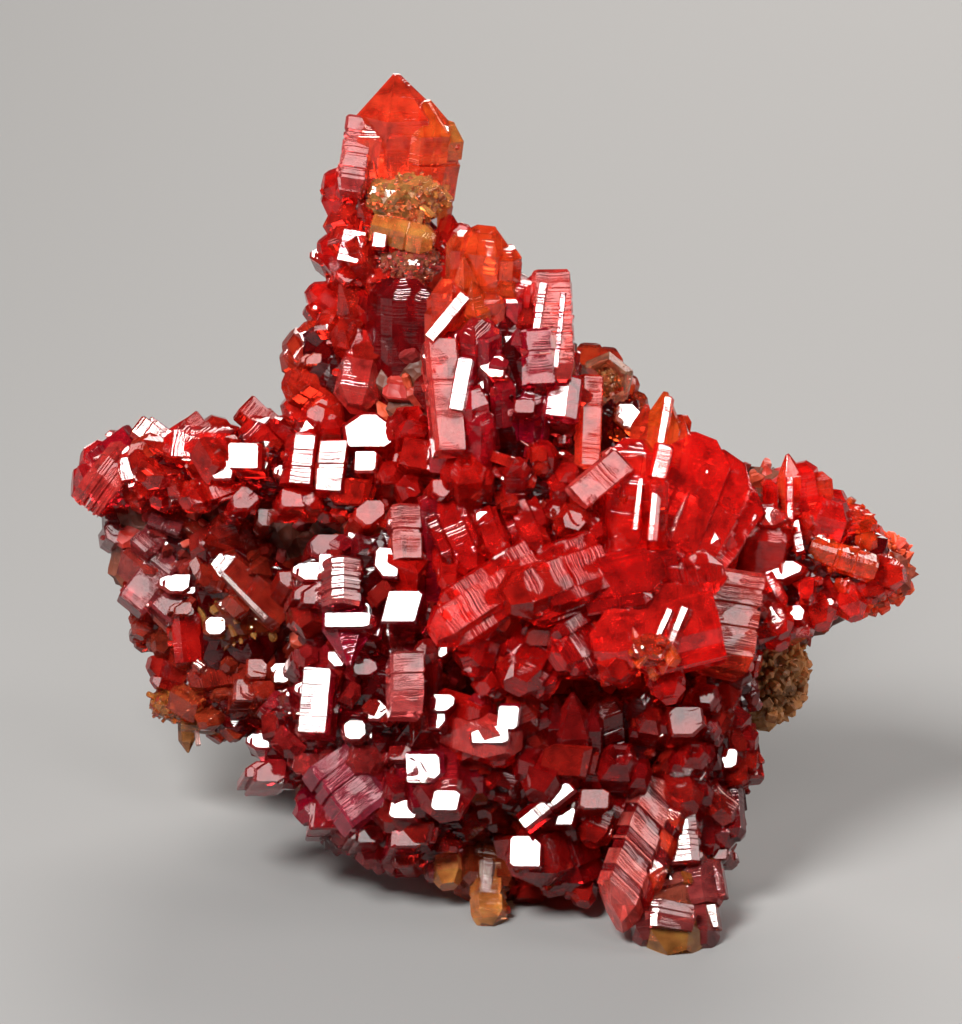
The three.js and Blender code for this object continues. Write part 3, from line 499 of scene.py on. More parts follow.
CLUSTERS["left_cluster"] = (DEEP, BROWN), [
    [-24, 33.4, -27.4, 7.6, 10.8, 5.2], [-30.8, 36, -31, 4.9, 9.6, 3.6], [-24.4, 24.8, -30, 7.2, 4, 4.3],
], [
    [-34, 43, -31.6, -38.4, 43.2, -30.2, 2.4, 2, "mauve"],
    [-34, 41.4, -31.6, -37, 41.8, -28.8, 2.4, 2, "mauve"],
    [-33.6, 39.8, -31.6, -36.6, 39.7, -30, 2.2, 2, "mauve"],
    [-30.8, 40.8, -26.4, -35.6, 34.2, -26.4, 3.2, 2.4, "mauve", 2],
    [-31.8, 42.8, -26.8, -34.8, 39.8, -27, 2.6, 2, "mauve", 1],
    [-33.6, 43.4, -27, -30.4, 42.2, -26.8, 2, 2, "mauve", 1],
    [-30.2, 36.2, -26.2, -32.8, 33.4, -26.2, 3, 2.4, "mauve"],
    [-30.4, 33.2, -25.2, -29, 35.2, -25.2, 0.9, 1.2, "white"],
    [-26.4, 41, -27.8, -33, 44.4, -28.4, 2.9, 2.8, 15],
    [-24.6, 38.8, -26, -26, 43.4, -21.4, 3.5, 3.2],
    [-19.8, 33.4, -23.4, -27, 39.2, -22.4, 4.4, 3.8, 10, "prism", "smooth", RUST],
    [-21.8, 33, -21.3, -26.4, 38, -21.1, 0.5, 1, "pink", PALE],
    [-20.6, 41, -23.8, -19.2, 37.2, -16.8, 2.1, 2, "pink"],
    [-21.8, 41, -25, -21.6, 43.4, -17.6, 1.9, 1.9, "pink"],
    [-33.2, 34.6, -31, -34.8, 31.2, -29.4, 2.6, 2.4],
    [-31.6, 33.6, -31.2, -32.6, 29.4, -28.8, 2.8, 2.6],
    [-29.6, 28.8, -26.4, -30, 33.8, -26.2, 3, 2.8, 12, "block", "smooth", BRIGHT],
    [-20.6, 28.4, -27, -29.6, 27.2, -27.6, 4.3, 4, "prism", "smooth", RUST],
    [-22.8, 26.8, -27.6, -22.6, 28.2, -21.8, 2.1, 2.1, "pink"],
    [-23.8, 25, -29, -23.7, 26, -22.6, 2.6, 2.4, "pink"],
    [-21.6, 25, -28.6, -21.8, 26, -21.8, 2.1, 2.1, "pink"],
    [-29.4, 27.2, -31.4, -33.8, 28.4, -29.8, 3, 2.8],
    [-23.6, 33, -28.8, -25.6, 32.4, -23.2, 3, 2.7],
    [-28.4, 26.4, -31.4, -33.5, 23.9, -30.4, 2.8, 2.4],
    [-27.4, 26.4, -31, -30.4, 23.9, -27.8, 3, 2.6],
    [-30.2, 25.6, -31.2, -29.9, 19.4, -31.2, 1.6, 1.2, "spear", "smooth", TAWNY],
    [-30.4, 22.4, -29.6, -26.6, 22, -29.2, 1.5, 1.3, 20, "block", "smooth", TAWNY],
    [-28.8, 22.6, -28.8, -28.7, 20.2, -28.8, 0.5, 0.6, "pink", PALE],
    [-22.8, 25.6, -30.4, -25.4, 23.6, -26.8, 3.4, 3.2],
    [-20.4, 23, -30.6, -21.6, 18.9, -27.4, 3.5, 3.2],
    [-19.8, 24.2, -28.4, -19, 24.2, -21.4, 2.5, 2.3, "pink"],
]

# The rock: x, y, z and three radii of each lump, in millimetres of the layout's own frame
ROCK_LUMPS = [
    (2, 36, 22, 20, 16, 22), (3, 39, 5, 20, 18, 12), (1, 35, 43, 11, 8, 11), (-10, 41.5, 42, 5, 4.4, 14),
    (-21, 45, 24, 13, 9, 13), (-31, 46, 27, 7, 5.6, 8), (26, 35.5, 28, 11, 7.6, 10),
    (36.6, 33, 28.6, 7.4, 4.6, 4.4), (28.6, 31.6, 18.2, 4.4, 4.6, 5.4), (-12, 49, 5, 9, 8, 9),
]
ROCK = [(Vector((x - BASE_CENTRE[0], y - BASE_CENTRE[1], z)), radii) for x, y, z, *radii in ROCK_LUMPS]
ARM_LUMP, NUB_LUMP = 7, 8

# The crust of each rock lump: bed colour, crystal colours, spacing, smallest and largest crystal
ROCK_CRUSTS = {
    ARM_LUMP: (RUSSET, (FLAME, ORANGE), 0.8, (0.3, 1.3)),
    NUB_LUMP: (OCHRE, (OCHRE, TAWNY), 0.8, (0.3, 1.3)),
}
PLAIN_CRUST = (UMBER, (RUSSET, MAROON), 2.4, (0.8, 2.4))

# Small crystals of each cluster: spacing, smallest, largest, stretch, and the way they grow on the face
FILLS = {
    "spire": (4, 2, 4.6, 1, (-0.2, 0.8, 0.5)),
    "centre_tower": (3.8, 1.8, 3.8, 1.6, (0, 1.2, 0.6)),
    "right_blades": (4.6, 1.6, 3.6, 1.6, (0.3, 1.2, 0.4)),
    "middle_ledge": (4.2, 2, 4.2, 1.1, (0, -0.2, 1)),
    "front_columns": (3.8, 2.2, 4.8, 1, (0, 0.3, 1)),
    "central_prisms": (3.2, 1.6, 3.4, 1.8, (0.2, -0.9, 0.8)),
    "white_row": (3.6, 1.8, 4, 1, (0, 0.3, 1)),
    "right_arm": (3, 1.2, 2.6, 1.2, (0.7, 0.2, 0.5)),
    "lower_right": (3.8, 2.4, 5.2, 1, (0.1, -0.2, 1)),
    "left_shelf": (3.2, 1.6, 3.8, 1.5, (-0.8, 0.1, 0.6)),
    "left_cluster": (3.8, 1.6, 4.2, 1.1, (-0.5, -0.2, 0.8)),
}
PLAIN_FILL = (3.6, 1.4, 3, 1.2, (0, 0, 0.5))

# Patches of fine golden-brown druse: u, v, d and three radii, two colours, smallest and largest crystal
PATCHES = {
    "spire": [
        ((-7.4, 75.8, -17.2), (3.9, 2.8, 2.7), (GOLD, FAWN), (0.35, 0.9)),
        ((-7.2, 69.2, -17.6), (3.2, 2.4, 2), (FAWN, ROSE), (0.35, 0.8)),
    ],
    "left_cluster": [
        ((-24.4, 33.4, -25), (3.8, 2.6, 3.6), (RUSSET, GOLD), (0.4, 1.2)),
        ((-31, 24.4, -30.4), (2.6, 1.8, 1.8), (AMBER, RUSSET), (0.4, 1)),
    ],
    "hollow_crystal": [((12.5, 56.6, -20.6), (1.9, 1.5, 1.9), (GOLD, RUSSET), (0.3, 0.7))],
    "right_arm": [
        ((39, 37.6, -18.6), (3, 2, 2.4), (FLAME, ORANGE), (0.6, 1.6)),
        ((36.8, 43, -18), (2.8, 1.6, 1.8), (FLAME, ORANGE), (0.5, 1.3)),
    ],
    "middle_ledge": [((16.8, 30.4, 2.6), (2.2, 1.6, 1.6), (FLAME, ORANGE), (0.7, 1.6))],
}

SLOTS = {"foot_crystal": "amber_crystal", "hollow_crystal": "amber_crystal"}


def mix(a, b, share):
    return tuple(x + (y - x) * share for x, y in zip(a, b))


def between(smallest, largest, share, power=2):
    return smallest + (largest - smallest) * share ** power


def inside(point, ellipsoid, share):
    centre, radii = ellipsoid
    away = point - centre
    return sum((away[axis] / radii[axis]) ** 2 for axis in range(3)) < share ** 2


def out_of_reach(tip, box, margin):
    """Whether a tip lies below the base or outside the box of the piece's solid."""
    return tip.z < LOWEST_TIP or any(
        not box[0][axis] - margin < tip[axis] < box[1][axis] + margin for axis in range(3))


def past_lower_left(point):
    """Whether a point lies outside the sloping edge."""
    place = to_face(point)
    edge = SLOPE_START[1] - SLOPE_FALL * max(0, place.x - SLOPE_START[0])
    return SLOPE_RUN[0] < place.x < SLOPE_RUN[1] and place.y < edge


def zoned(point, tint):
    """The body colour with the colour zone that the place is in: its own colour, painted shade or painted
    sheen, as the zone gives.
    """
    place = to_face(point)
    for u, v, radius, colour, strength in ZONES:
        near = 1 - math.hypot(place.x - u, place.y - v) / radius
        if near > 0:
            tint = mix(tint, colour, strength * min(1.0, near * 2.5))
    return tint


def strewn(centre, radii, spacing):
    """Points all over an ellipsoid: number, direction, place and outward normal of each."""
    area = 4 * math.pi * ((radii[0] * radii[1] + radii[1] * radii[2] + radii[0] * radii[2]) / 3)
    count = int(area / spacing ** 2)
    for k in range(count):
        height = 1 - 2 * (k + 0.5) / count
        ring = math.sqrt(1 - height * height)
        angle = 2 * math.pi * GOLDEN * k
        way = Vector((ring * math.cos(angle), ring * math.sin(angle), height))
        way += jitter(1.8 / math.sqrt(count), k, 90)
        way = way.normalized()
        place = centre + Vector([way[axis] * radii[axis] for axis in range(3)])
        yield k, way, place, Vector([way[axis] / radii[axis] for axis in range(3)]).normalized()


def build_mesh(name, corners, faces, grains, tints):
    """A mesh with a local coordinate for each corner and a body colour for each face."""
    mesh = bpy.data.meshes.new(name)
    mesh.from_pydata(corners, [], faces)
    grain = mesh.attributes.new("grain", "FLOAT_VECTOR", "CORNER")
    grain.data.foreach_set("vector", [value for loop in mesh.loops for value in grains[loop.vertex_index]])
    colour = mesh.attributes.new("tint", "FLOAT_VECTOR", "FACE")
    colour.data.foreach_set("vector", [value for tint in tints for value in tint])
    return mesh


def loft(name, rings, grain_rings, ring_tints):
    sides = len(rings[0])
    corners = [point for ring in rings for point in ring]
    grains = [grain for ring in grain_rings for grain in ring]
    faces = []
    for ring in range(len(rings) - 1):
        for side in range(sides):
            a, b = ring * sides + side, ring * sides + (side + 1) % sides
            faces.append((a, b, b + sides, a + sides))
    last = (len(rings) - 1) * sides
    faces.append(tuple(range(sides - 1, -1, -1)))
    faces.append(tuple(range(last, last + sides)))
    tints = [tint for tint in ring_tints[1:] for _ in range(sides)]
    return build_mesh(name, corners, faces, grains, tints + [ring_tints[0], ring_tints[-1]])


def stance(foot, tip, turn, form_name, index):
    """Where a crystal stands. White, pink and mauve ones turn a face to a light."""
    axis = tip - foot
    length = axis.length
    axis.normalize()
    outward = face_direction(0, 0, 1)
    glint = HALF_WAY.get(form_name)
    if glint:
        glint = (glint + jitter(0.12, index, 30)).normalized()
        if axis.dot(outward) > 0.6:
            axis = glint
        else:
            axis = (axis - glint * axis.dot(glint)).normalized()
            outward = glint
        foot = tip - axis * length
        turn = 0
    front = outward - axis * outward.dot(axis)
    if front.length < 0.15 or (glint and axis.dot(glint) > 0.6):
        upward = face_direction(0, 1, 0)
        front = upward - axis * upward.dot(axis)
    front.normalize()
    front.rotate(Matrix.Rotation(math.radians(turn), 3, axis))
    return foot, axis, front.cross(axis).normalized(), front, length


def cross_section(form, index):
    """The corners of a crystal's section, from -1 to 1 both ways."""
    if form["sides"] == 4:
        cut = [0.05 + 0.9 * chance(index, 20 + k) ** 2 for k in range(4)]
        section = [(1 - cut[0], 1), (cut[1] - 1, 1), (-1, 1 - cut[1]), (-1, cut[2] - 1),
                   (cut[2] - 1, -1), (1 - cut[3], -1), (1, cut[3] - 1), (1, 1 - cut[0])]
        section = [(s + 0.4 * spread(index, 29) * f, f) for s, f in section]
    else:
        flat = form["flat"]
        section = [(1, 0), (flat, 1), (-flat, 1), (-1, 0), (-flat, -1), (flat, -1)]
    return [(s * (1 + 0.1 * spread(index, 3 + k)), f) for k, (s, f) in enumerate(section)]


def crystal(name, foot, tip, width, thickness, turn, form_name, steps, index, tint, hopper=False,
            tip_tint=None, notch=STEP_GAP, notch_tint=None, shift=(0, 0), share=1.0):
    """One crystal from its hidden foot to its tip."""
    form = FORMS[form_name]
    foot, axis, across, front, length = stance(foot, tip, turn, form_name, index)
    half_width, half_thickness = width / 2, thickness / 2
    foot = foot + across * shift[0] * width + front * shift[1] * thickness
    length *= share
    section = cross_section(form, index)
    bevel = min(form["bevel"] * width, length * 0.6)
    lean = (spread(index, 0) * 0.3, spread(index, 1) * 0.3)
    askew = half_width * (0.45 if notch_tint else 0.16 * spread(index, 19))
    levels = [(0, 0.92 + (0.4 * spread(index, 27) if form_name in HALF_WAY else 0), (0, 0))]
    notches = set()
    for step in range(1, steps + 1):
        along = (length - bevel) * (step + 0.5 * spread(index, step)) / (steps + 1)
        waist = 1 - 0.1 * (0.7 + spread(index, step + 5))
        gap = min(notch * (1 + 1.2 * spread(index, step + 9)), 0.4 * (length - bevel) / (steps + 1))
        notches.update(range(len(levels) + 1, len(levels) + 4))
        tilt = (0.1 * spread(index, step + 13), 0.08 * spread(index, step + 17))
        levels += [(along - 0.12, 1, (0, 0)), (along, waist, tilt), (along + gap, waist, tilt),
                   (along + gap + 0.15, 1, (0, 0))]
    levels += [(length - bevel, 1, (0, 0)), (length, form["end"], lean)]
    if form_name == "cup":
        levels += [(length - 0.1, 0.74, lean), (length - 2.4, 0.6, lean)]
    elif hopper:
        pit = min(width * 0.22, length * 0.2)
        levels += [(length - pit * 0.3, form["end"] * 0.72, lean), (length - pit, form["end"] * 0.42, lean)]
    rings, grain_rings, ring_tints = [], [], []
    for number, (along, scale, slide) in enumerate(levels):
        ring_tints.append(mix(tint, tip_tint or tint, (along / length) ** 2))
        if notch_tint and number in notches:
            ring_tints[-1] = notch_tint
        ring, grain = [], []
        for corner, (s, f) in enumerate(section):
            waver = 0 if form_name in HALF_WAY else 0.07 * spread(7 * index + number, 60 + corner)
            side = half_width * (s * (scale + waver) + slide[0])
            out = half_thickness * (f * (scale + waver) + slide[1])
            rise = askew * s if steps and along else 0
            ring.append(foot + axis * (along + rise) + across * side + front * out)
            grain.append((side, out, along + 7.0 * index % 40))
        rings.append(ring)
        grain_rings.append(grain)
    return loft(name, rings, grain_rings, ring_tints)


def lump(name, centre, radii, detail, index, tint, rough):
    """A rough rounded lump."""
    ball = bmesh.new()
    bmesh.ops.create_icosphere(ball, subdivisions=detail, radius=1)
    corners = []
    for vertex in ball.verts:
        n = vertex.co
        broad = math.sin(5.1 * n.x + index) * math.sin(4.3 * n.y + 2 * index)
        narrow = math.sin(9.7 * n.z + 3.1 * n.x) * math.sin(8.3 * n.y + index) * 0.6
        size = 1 + rough * (0.5 * (broad + narrow) + 0.6 * spread(vertex.index, index))
        corners.append(centre + Vector([n[axis] * radii[axis] * size for axis in range(3)]))
    faces = [tuple(vertex.index for vertex in face.verts) for face in ball.faces]
    grains = [tuple(corner) for corner in corners]
    ball.free()
    return build_mesh(name, corners, faces, grains, [tint] * len(faces))


def infill(name, centre, radii, fill, index, colours, box):
    """Small crystals all over a crust lump, in the gaps between the large ones."""
    spacing, smallest, largest, stretch, bias = fill
    grow = from_face(*bias) - from_face(0, 0, 0)
    meshes = []
    for k, _, surface, normal in strewn(centre, radii, spacing * 0.84):
        if any(inside(surface, rock_lump, 0.96) for rock_lump in ROCK):
            continue
        size = between(smallest, largest, chance(k, index), 1.6)
        way = normal + grow * 1.3 + jitter(0.7, k, index + 5)
        if way.dot(normal) < 0.25:
            way += normal * (0.5 - way.dot(normal))
        way.normalize()
        reach = size * stretch * (0.2 + 0.5 * chance(k, 9))
        tip = surface + way * reach
        if out_of_reach(tip, box, 0.6) or past_lower_left(tip):
            continue
        foot = surface - way * size * 0.9
        tint = mix(*colours, chance(k, 4))
        tint = zoned(tip, mix(tint, BLACK, 0.45 * chance(k, 6)))
        form = INFILL_FORMS[k % len(INFILL_FORMS)]
        if form in HALF_WAY:
            size *= 0.7
        thick = size * (0.8 + 0.3 * spread(k, 2))
        for twin in range(3):
            shift = (0, 0)
            if twin:
                shift = (0.9 * (twin - 1.5) + 0.3 * spread(k, 12 + twin), 0.5 * spread(k, 14 + twin))
            grown = 1 - 0.28 * twin * (0.7 + spread(k, 16))
            part = 1 - 0.3 * min(twin, 1)
            meshes.append(crystal(f"{name}_{k}_{twin}", foot, tip, size * part, thick * part,
                                  360 * spread(k, 7), form, 0, k, tint, tip_tint=mix(tint, FLAME, 0.2),
                                  shift=shift, share=grown))
    return meshes


def twins(name, foot, tip, width, thickness, turn, form, index, tint):
    """Shorter crystals grown on to the sides of a large one, parallel to it."""
    meshes = []
    for k in range(2 if width < 4 else 4):
        side = (0.42 + 0.16 * spread(index, 40 + k)) * (-1) ** (k + index)
        out = 0.5 * spread(index, 44 + k)
        grown = 0.9 - 0.4 * chance(index, 48 + k)
        part = 0.36 + 0.3 * chance(index, 52 + k)
        tone = mix(tint, BLACK, 0.25 * chance(index, 56 + k))
        meshes.append(crystal(f"{name}_twin_{index}_{k}", foot, tip, width * part, thickness * (part + 0.2),
                              turn, form, 0, 7 * index + k, tone,
                              shift=(side / part, out / (part + 0.2)), share=grown))
    return meshes


def chips(name, foot, tip, width, thickness, turn, form, index, tint, count):
    """Tiny crystals on the faces and edges of a large one."""
    foot, axis, across, front, length = stance(foot, tip, turn, form, index)
    top = length - min(FORMS[form]["bevel"] * width, length * 0.6)
    corner = 0.45 if FORMS[form]["sides"] == 6 else 0
    meshes = []
    for k in range(count):
        angle = math.pi * (k % 2) + 1.5 * spread(index + 3 * k, 71)
        way = across * math.cos(angle) + front * math.sin(angle)
        side, out = abs(math.cos(angle)) / (width / 2), abs(math.sin(angle)) / (thickness / 2)
        reach = 0.95 / max(side + corner * out, out)
        start = foot + axis * min(length * (0.62 + 0.6 * spread(index + k, 72)), top - 0.7)
        size = 0.5 + 0.9 * chance(index + k, 73) ** 2
        lean = axis * (0.8 * spread(index + k, 74)) + across * (0.6 * spread(index + k, 75))
        end = start + way * (reach + 0.18 + 0.3 * chance(index + k, 76)) + lean * size
        kind = CHIP_FORMS[k % len(CHIP_FORMS)]
        if kind in HALF_WAY and way.dot(face_direction(0, 0, 1)) < 0.3:
            kind = "block"
        meshes.append(crystal(f"{name}_chip_{index}_{k}", start + way * reach * 0.4, end, size, size * 0.8,
                              360 * spread(k, 77), kind, 0, index + k, mix(tint, FLAME, 0.3)))
    return meshes


def druse(name, centre, radii, colours, sizes, index):
    """A rounded patch of tiny crystals."""
    meshes = [lump(name + "_bed", centre, radii, 3, index, mix(colours[0], BLACK, 0.3), 0.2)]
    for k, way, surface, _ in strewn(centre, radii, 0.9 * sizes[1]):
        size = between(*sizes, chance(k, index))
        way = way + jitter(1.6, k, index + 5)
        way.normalize()
        tip = surface + way * size * (0.6 + spread(k, 6))
        meshes.append(crystal(f"{name}_{k}", surface - way * size, tip, size * 0.8, size * 0.6,
                              360 * spread(k, 7), GRAIN_FORMS[k % 3], 0, k, mix(*colours, chance(k, 4))))
    return meshes


def unite(name, meshes, cut_floor):
    """One closed surface of many overlapping closed ones, in metres."""
    scene = bpy.context.scene.collection
    group = bpy.data.collections.new(name + "_parts")
    scene.children.link(group)
    objects = [bpy.data.objects.new(mesh.name, mesh) for mesh in meshes]
    for item in objects[1:]:
        group.objects.link(item)
    base = objects[0]
    scene.objects.link(base)
    union = base.modifiers.new("union", "BOOLEAN")
    union.operation = "UNION"
    union.solver = "MANIFOLD"
    union.operand_type = "COLLECTION"
    union.collection = group
    if cut_floor:
        low, high = Vector((-90, -90, -60)), Vector((90, 90, 0))
        corners = [Vector([(low, high)[(k >> axis) & 1][axis] for axis in range(3)]) for k in range(8)]
        faces = [(0, 2, 3, 1), (4, 5, 7, 6), (0, 1, 5, 4), (2, 6, 7, 3), (0, 4, 6, 2), (1, 3, 7, 5)]
        block_mesh = build_mesh("floor_block", corners, faces, corners, [BROWN] * len(faces))
        block = bpy.data.objects.new("floor_block", block_mesh)
        scene.objects.link(block)
        objects.append(block)
        cut = base.modifiers.new("cut", "BOOLEAN")
        cut.operation = "DIFFERENCE"
        cut.solver = "MANIFOLD"
        cut.object = block
    graph = bpy.context.evaluated_depsgraph_get()
    mesh = bpy.data.meshes.new_from_object(base.evaluated_get(graph))
    mesh.transform(Matrix.Scale(MM, 4))
    for item in objects:
        data = item.data
        bpy.data.objects.remove(item)
        bpy.data.meshes.remove(data)
    bpy.data.collections.remove(group)
    mesh.name = name
    piece = bpy.data.objects.new(name, mesh)
    scene.objects.link(piece)
    mesh.polygons.foreach_set("use_smooth", [False] * len(mesh.polygons))
    return piece


# Materials

def new_material(name):
    material = bpy.data.materials.new(name)
    material.use_nodes = True
    material.node_tree.nodes.clear()
    return material, material.node_tree


def feed(tree, socket, value):
    """Link another node's output to an input, or set the input's own value."""
    if isinstance(value, bpy.types.NodeSocket):
        tree.links.new(value, socket)
    else:
        socket.default_value = value


def node(tree, kind, settings=(), **inputs):
    item = tree.nodes.new("ShaderNode" + kind)
    for key, value in settings:
        setattr(item, key, value)
    for key, value in inputs.items():
        feed(tree, item.inputs[key.replace("_", " ")], value)
    return item


def reckon(tree, operation, *values):
    item = node(tree, "Math", [("operation", operation)])
    for socket, value in zip(item.inputs, values):
        feed(tree, socket, value)
    return item.outputs["Value"]


def ramp(tree, value, stops):
    item = node(tree, "ValToRGB", Fac=value)
    element = item.color_ramp.elements
    while len(element) < len(stops):
        element.new(1)
    for place, (position, colour) in zip(element, stops):
        place.position = position
        place.color = (*colour, 1)
    return item.outputs["Color"]


def dress(tree, clouds, height, strength, distance, **values):
    """The shader: the piece's own body colour with its clouds, and a fine relief."""
    tint = node(tree, "Attribute", [("attribute_name", "tint")]).outputs["Vector"]
    product = [("data_type", "RGBA"), ("blend_type", "MULTIPLY")]
    shade = node(tree, "Mix", product, Factor=1.0, A=tint, B=clouds)
    bump = node(tree, "Bump", Strength=strength, Distance=distance, Height=height)
    shader = node(tree, "BsdfPrincipled", Base_Color=shade.outputs["Result"],
                  Normal=bump.outputs["Normal"], **values)
    return node(tree, "OutputMaterial", Surface=shader.outputs["BSDF"])


def crystal_material(name, transmission, density):
    material, tree = new_material(name)
    grain = node(tree, "Attribute", [("attribute_name", "grain")]).outputs["Vector"]

    # Cloudy zones inside the crystal
    cloud = node(tree, "TexNoise", Vector=grain, Scale=0.5, Detail=2.0, Roughness=0.6).outputs["Fac"]
    clouds = ramp(tree, cloud, [(0.3, (0.45, 0.45, 0.45)), (0.5, (1, 1, 1)), (0.72, (1.25, 1.6, 1.5))])

    # Growth lines across the crystal, on some of its faces
    along = node(tree, "SeparateXYZ", Vector=grain).outputs["Z"]
    waver = node(tree, "TexNoise", Vector=grain, Scale=0.45, Detail=0.0).outputs["Fac"]
    offset = reckon(tree, "MULTIPLY_ADD", waver, 0.7, along)
    one_way = [("noise_dimensions", "1D")]
    lines = node(tree, "TexNoise", one_way, W=offset, Scale=3.2, Detail=2.0, Roughness=0.7)
    some_faces = ramp(tree, waver, [(0.44, (0.05, 0.05, 0.05)), (0.52, (1, 1, 1))])
    centred = reckon(tree, "SUBTRACT", lines.outputs["Fac"], 0.5)
    height = reckon(tree, "MULTIPLY", centred, some_faces)

    output = dress(tree, clouds, height, 0.6, 0.00009,
                   IOR=1.52, Roughness=0.05, Transmission_Weight=transmission)
    if density:
        absorb = node(tree, "VolumeAbsorption", Color=(0.95, 0.35, 0.15, 1), Density=density)
        feed(tree, output.inputs["Volume"], absorb.outputs["Volume"])
    return material


def rock_material():
    material, tree = new_material("rock")
    place = node(tree, "TexCoord").outputs["Object"]
    patch = node(tree, "TexNoise", Vector=place, Scale=160.0, Detail=6.0, Roughness=0.65).outputs["Fac"]
    patches = ramp(tree, patch, [(0.3, (0.25, 0.2, 0.15)), (0.5, (1, 1, 1)), (0.72, (1.7, 1.6, 1.3))])
    grit = node(tree, "TexVoronoi", Vector=place, Scale=900.0).outputs["Distance"]
    dress(tree, patches, grit, 0.7, 0.0004, Roughness=0.55)
    return material


LOOKS = {
    "red_crystal": crystal_material("red_crystal", 0.76, 0.0),
    "amber_crystal": crystal_material("amber_crystal", 0.86, 30.0),
    "rock": rock_material(),
}


# Pieces

def settle(piece, node_name, slot):
    """Give a piece the material of its slot and its body, and hide the solid that it stands in for."""
    piece.data.materials.clear()
    piece.data.materials.append(LOOKS[slot])
    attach(piece, "root")
    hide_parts(node_name)
    print(node_name, len(piece.data.polygons))


def solid_box(node_name):
    low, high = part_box(node_name)
    return Vector(low) / MM, Vector(high) / MM


def read_row(row, index, colours):
    """The shape, growth steps, smoothness and two colours that a crystal's row gives."""
    rest = row[8:]
    turn = rest.pop(0) if rest and rest[0] not in FORMS else 0
    form, *extras = rest or ["prism"]
    foot, tip = from_face(*row[:3]), from_face(*row[3:6])
    steps = 1 if (tip - foot).length > 5 and index % 2 else 0
    tones = []
    for extra in extras:
        if isinstance(extra, int):
            steps = extra
        elif isinstance(extra, tuple):
            tones.append(extra)
    if not tones:
        # The mauve colour of mauve-form crystals is partly a painted pink sheen
        tint = MAUVE_SHEEN if form == "mauve" else zoned(tip, mix(*colours, 0.5 + 0.9 * spread(index, 1)))
        tones = [tint, mix(tint, FLAME, 0.2 * chance(index, 11))]
    return (foot, tip, row[6], row[7], turn, form), steps, "smooth" in extras, tones[0], tones[-1]


def build_cluster(number, name, colours, crust, rows):
    box = solid_box(name)
    meshes = []
    for k, (u, v, d, ru, rv, rd) in enumerate(crust):
        centre = from_face(u, v, d)
        bed, shell = [[radius * share for radius in (ru, rd, rv)] for share in (0.82, 0.86)]
        # The crust lumps are near black: painted shade in the gaps between the crystals
        meshes.append(lump(f"{name}_crust_{k}", centre, bed, 4, number + k, PAINTED_SHADE, 0.3))
        fill = FILLS.get(name, PLAIN_FILL)
        meshes += infill(f"{name}_{k}", centre, shell, fill, 3 * number + k, colours, box)
    notch = (BAND_GAP, NOTCH_DARK) if name == "banded_crystal" else (STEP_GAP, None)
    for index, row in enumerate(rows):
        shape, steps, smooth, tint, tip_tint = read_row(row, index, colours)
        width, form = shape[2], shape[5]
        hopper = width > 3.4 and form == "prism" and index % 3 == 0
        meshes.append(crystal(f"{name}_large_{index}", *shape, steps, index, tint, hopper, tip_tint, *notch))
        if width > 2.2:
            calm = smooth or form in HALF_WAY
            if not calm:
                meshes += twins(name, *shape, index, tint)
            meshes += chips(name, *shape, index, tint, 3 if calm else 6)
    for k, (place, radii, tones, sizes) in enumerate(PATCHES.get(name, ())):
        meshes += druse(f"{name}_druse_{k}", from_face(*place), radii, tones, sizes, number + k)
    settle(unite(name + "_look", meshes, box[0].z < 4), name, SLOTS.get(name, "red_crystal"))


def build_rock():
    box = solid_box("matrix")
    crusts = [ROCK_CRUSTS.get(k, PLAIN_CRUST) for k in range(len(ROCK))]
    meshes = [lump(f"rock_{k}", *ROCK[k], 4, k, crusts[k][0], 0.24) for k in range(len(ROCK))]
    for k, (_, colours, spacing, sizes) in enumerate(crusts):
        others = ROCK[:k] + ROCK[k + 1:]
        for j, _, surface, normal in strewn(*ROCK[k], spacing):
            if surface.z < 0.6 or any(inside(surface, other, 0.97) for other in others):
                continue
            size = between(*sizes, chance(j, k))
            way = normal + jitter(1.2, j, k + 5)
            way.normalize()
            tip = surface + way * size * 0.7
            if out_of_reach(tip, box, 0.8):
                continue
            thick = size * (0.6 + 0.5 * spread(j, 8))
            meshes.append(crystal(f"druse_{k}_{j}", surface - way * size, tip, size, thick,
                                  360 * spread(j, 7), GRAIN_FORMS[j % 4], 0, j, mix(*colours, chance(j, 4))))
    settle(unite("rock_look", meshes, True), "matrix", "rock")


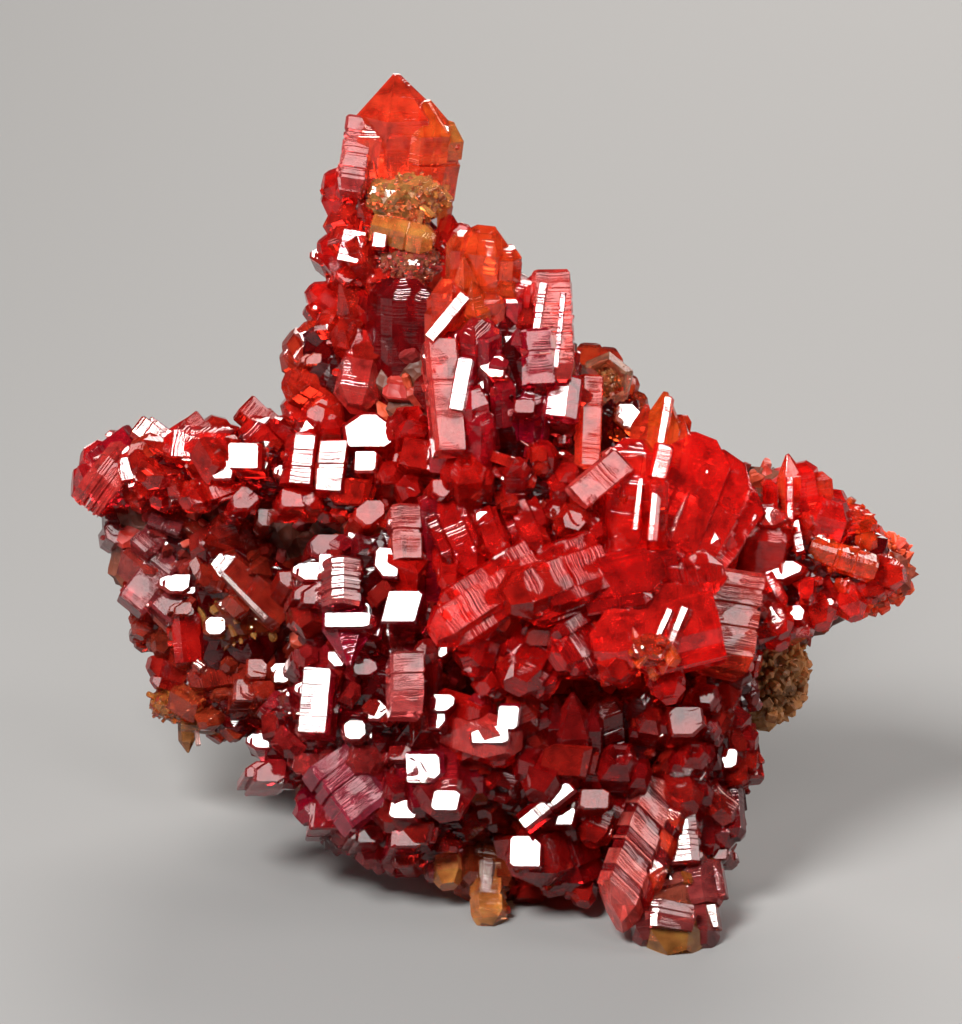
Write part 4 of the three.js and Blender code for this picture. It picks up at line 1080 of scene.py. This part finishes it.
for order, (cluster_name, cluster) in enumerate(CLUSTERS.items()):
    build_cluster(order, cluster_name, *cluster)
build_rock()


# Stage and light

def add_area(name, side, distance, size, power, colour):
    data = bpy.data.lights.new(name, "AREA")
    data.shape = "DISK"
    data.size = size
    data.energy = power
    data.color = colour
    lamp = bpy.data.objects.new(name, data)
    bpy.context.scene.collection.objects.link(lamp)
    place = LIT_PLACE + face_direction(*side) * distance
    turn = (place - LIT_PLACE).to_track_quat("Z", "Y").to_matrix().to_4x4()
    lamp.matrix_world = Matrix.Translation(place) @ turn


LIT_PLACE = from_face(0, 42, -10) * MM
add_area("key", KEY_SIDE, 0.6, 0.24, 7.5, (1, 0.98, 0.95))
add_area("fill", FILL_SIDE, 0.7, 0.24, 1.0, (1, 0.95, 0.93))
add_area("left", (-0.92, 0.2, 0.3), 0.7, 0.26, 1.0, (1, 0.95, 0.93))
add_area("side", (0.95, 0.35, 0.25), 0.6, 0.3, 1.6, (1, 0.97, 0.95))
add_area("back", (0.15, 0.75, -0.7), 0.6, 0.4, 3.0, (1, 0.95, 0.9))

world = bpy.data.worlds.new("world")
world.use_nodes = True
world.node_tree.nodes["Background"].inputs["Color"].default_value = (0.2, 0.2, 0.21, 1)
world.node_tree.nodes["Background"].inputs["Strength"].default_value = 0.2
bpy.context.scene.world = world
bpy.context.scene.view_settings.view_transform = "Standard"

floor_mesh = bpy.data.meshes.new("floor")
corners = [(-FLOOR_REACH, -FLOOR_REACH, 0), (FLOOR_REACH, -FLOOR_REACH, 0),
           (FLOOR_REACH, FLOOR_REACH, 0), (-FLOOR_REACH, FLOOR_REACH, 0)]
floor_mesh.from_pydata(corners, [], [(0, 1, 2, 3)])
floor = bpy.data.objects.new("floor", floor_mesh)
bpy.context.scene.collection.objects.link(floor)
floor_look, floor_tree = new_material("floor")
floor_shader = node(floor_tree, "BsdfPrincipled", Roughness=0.7, Base_Color=(0.2, 0.2, 0.2, 1))
node(floor_tree, "OutputMaterial", Surface=floor_shader.outputs["BSDF"])
floor_mesh.materials.append(floor_look)
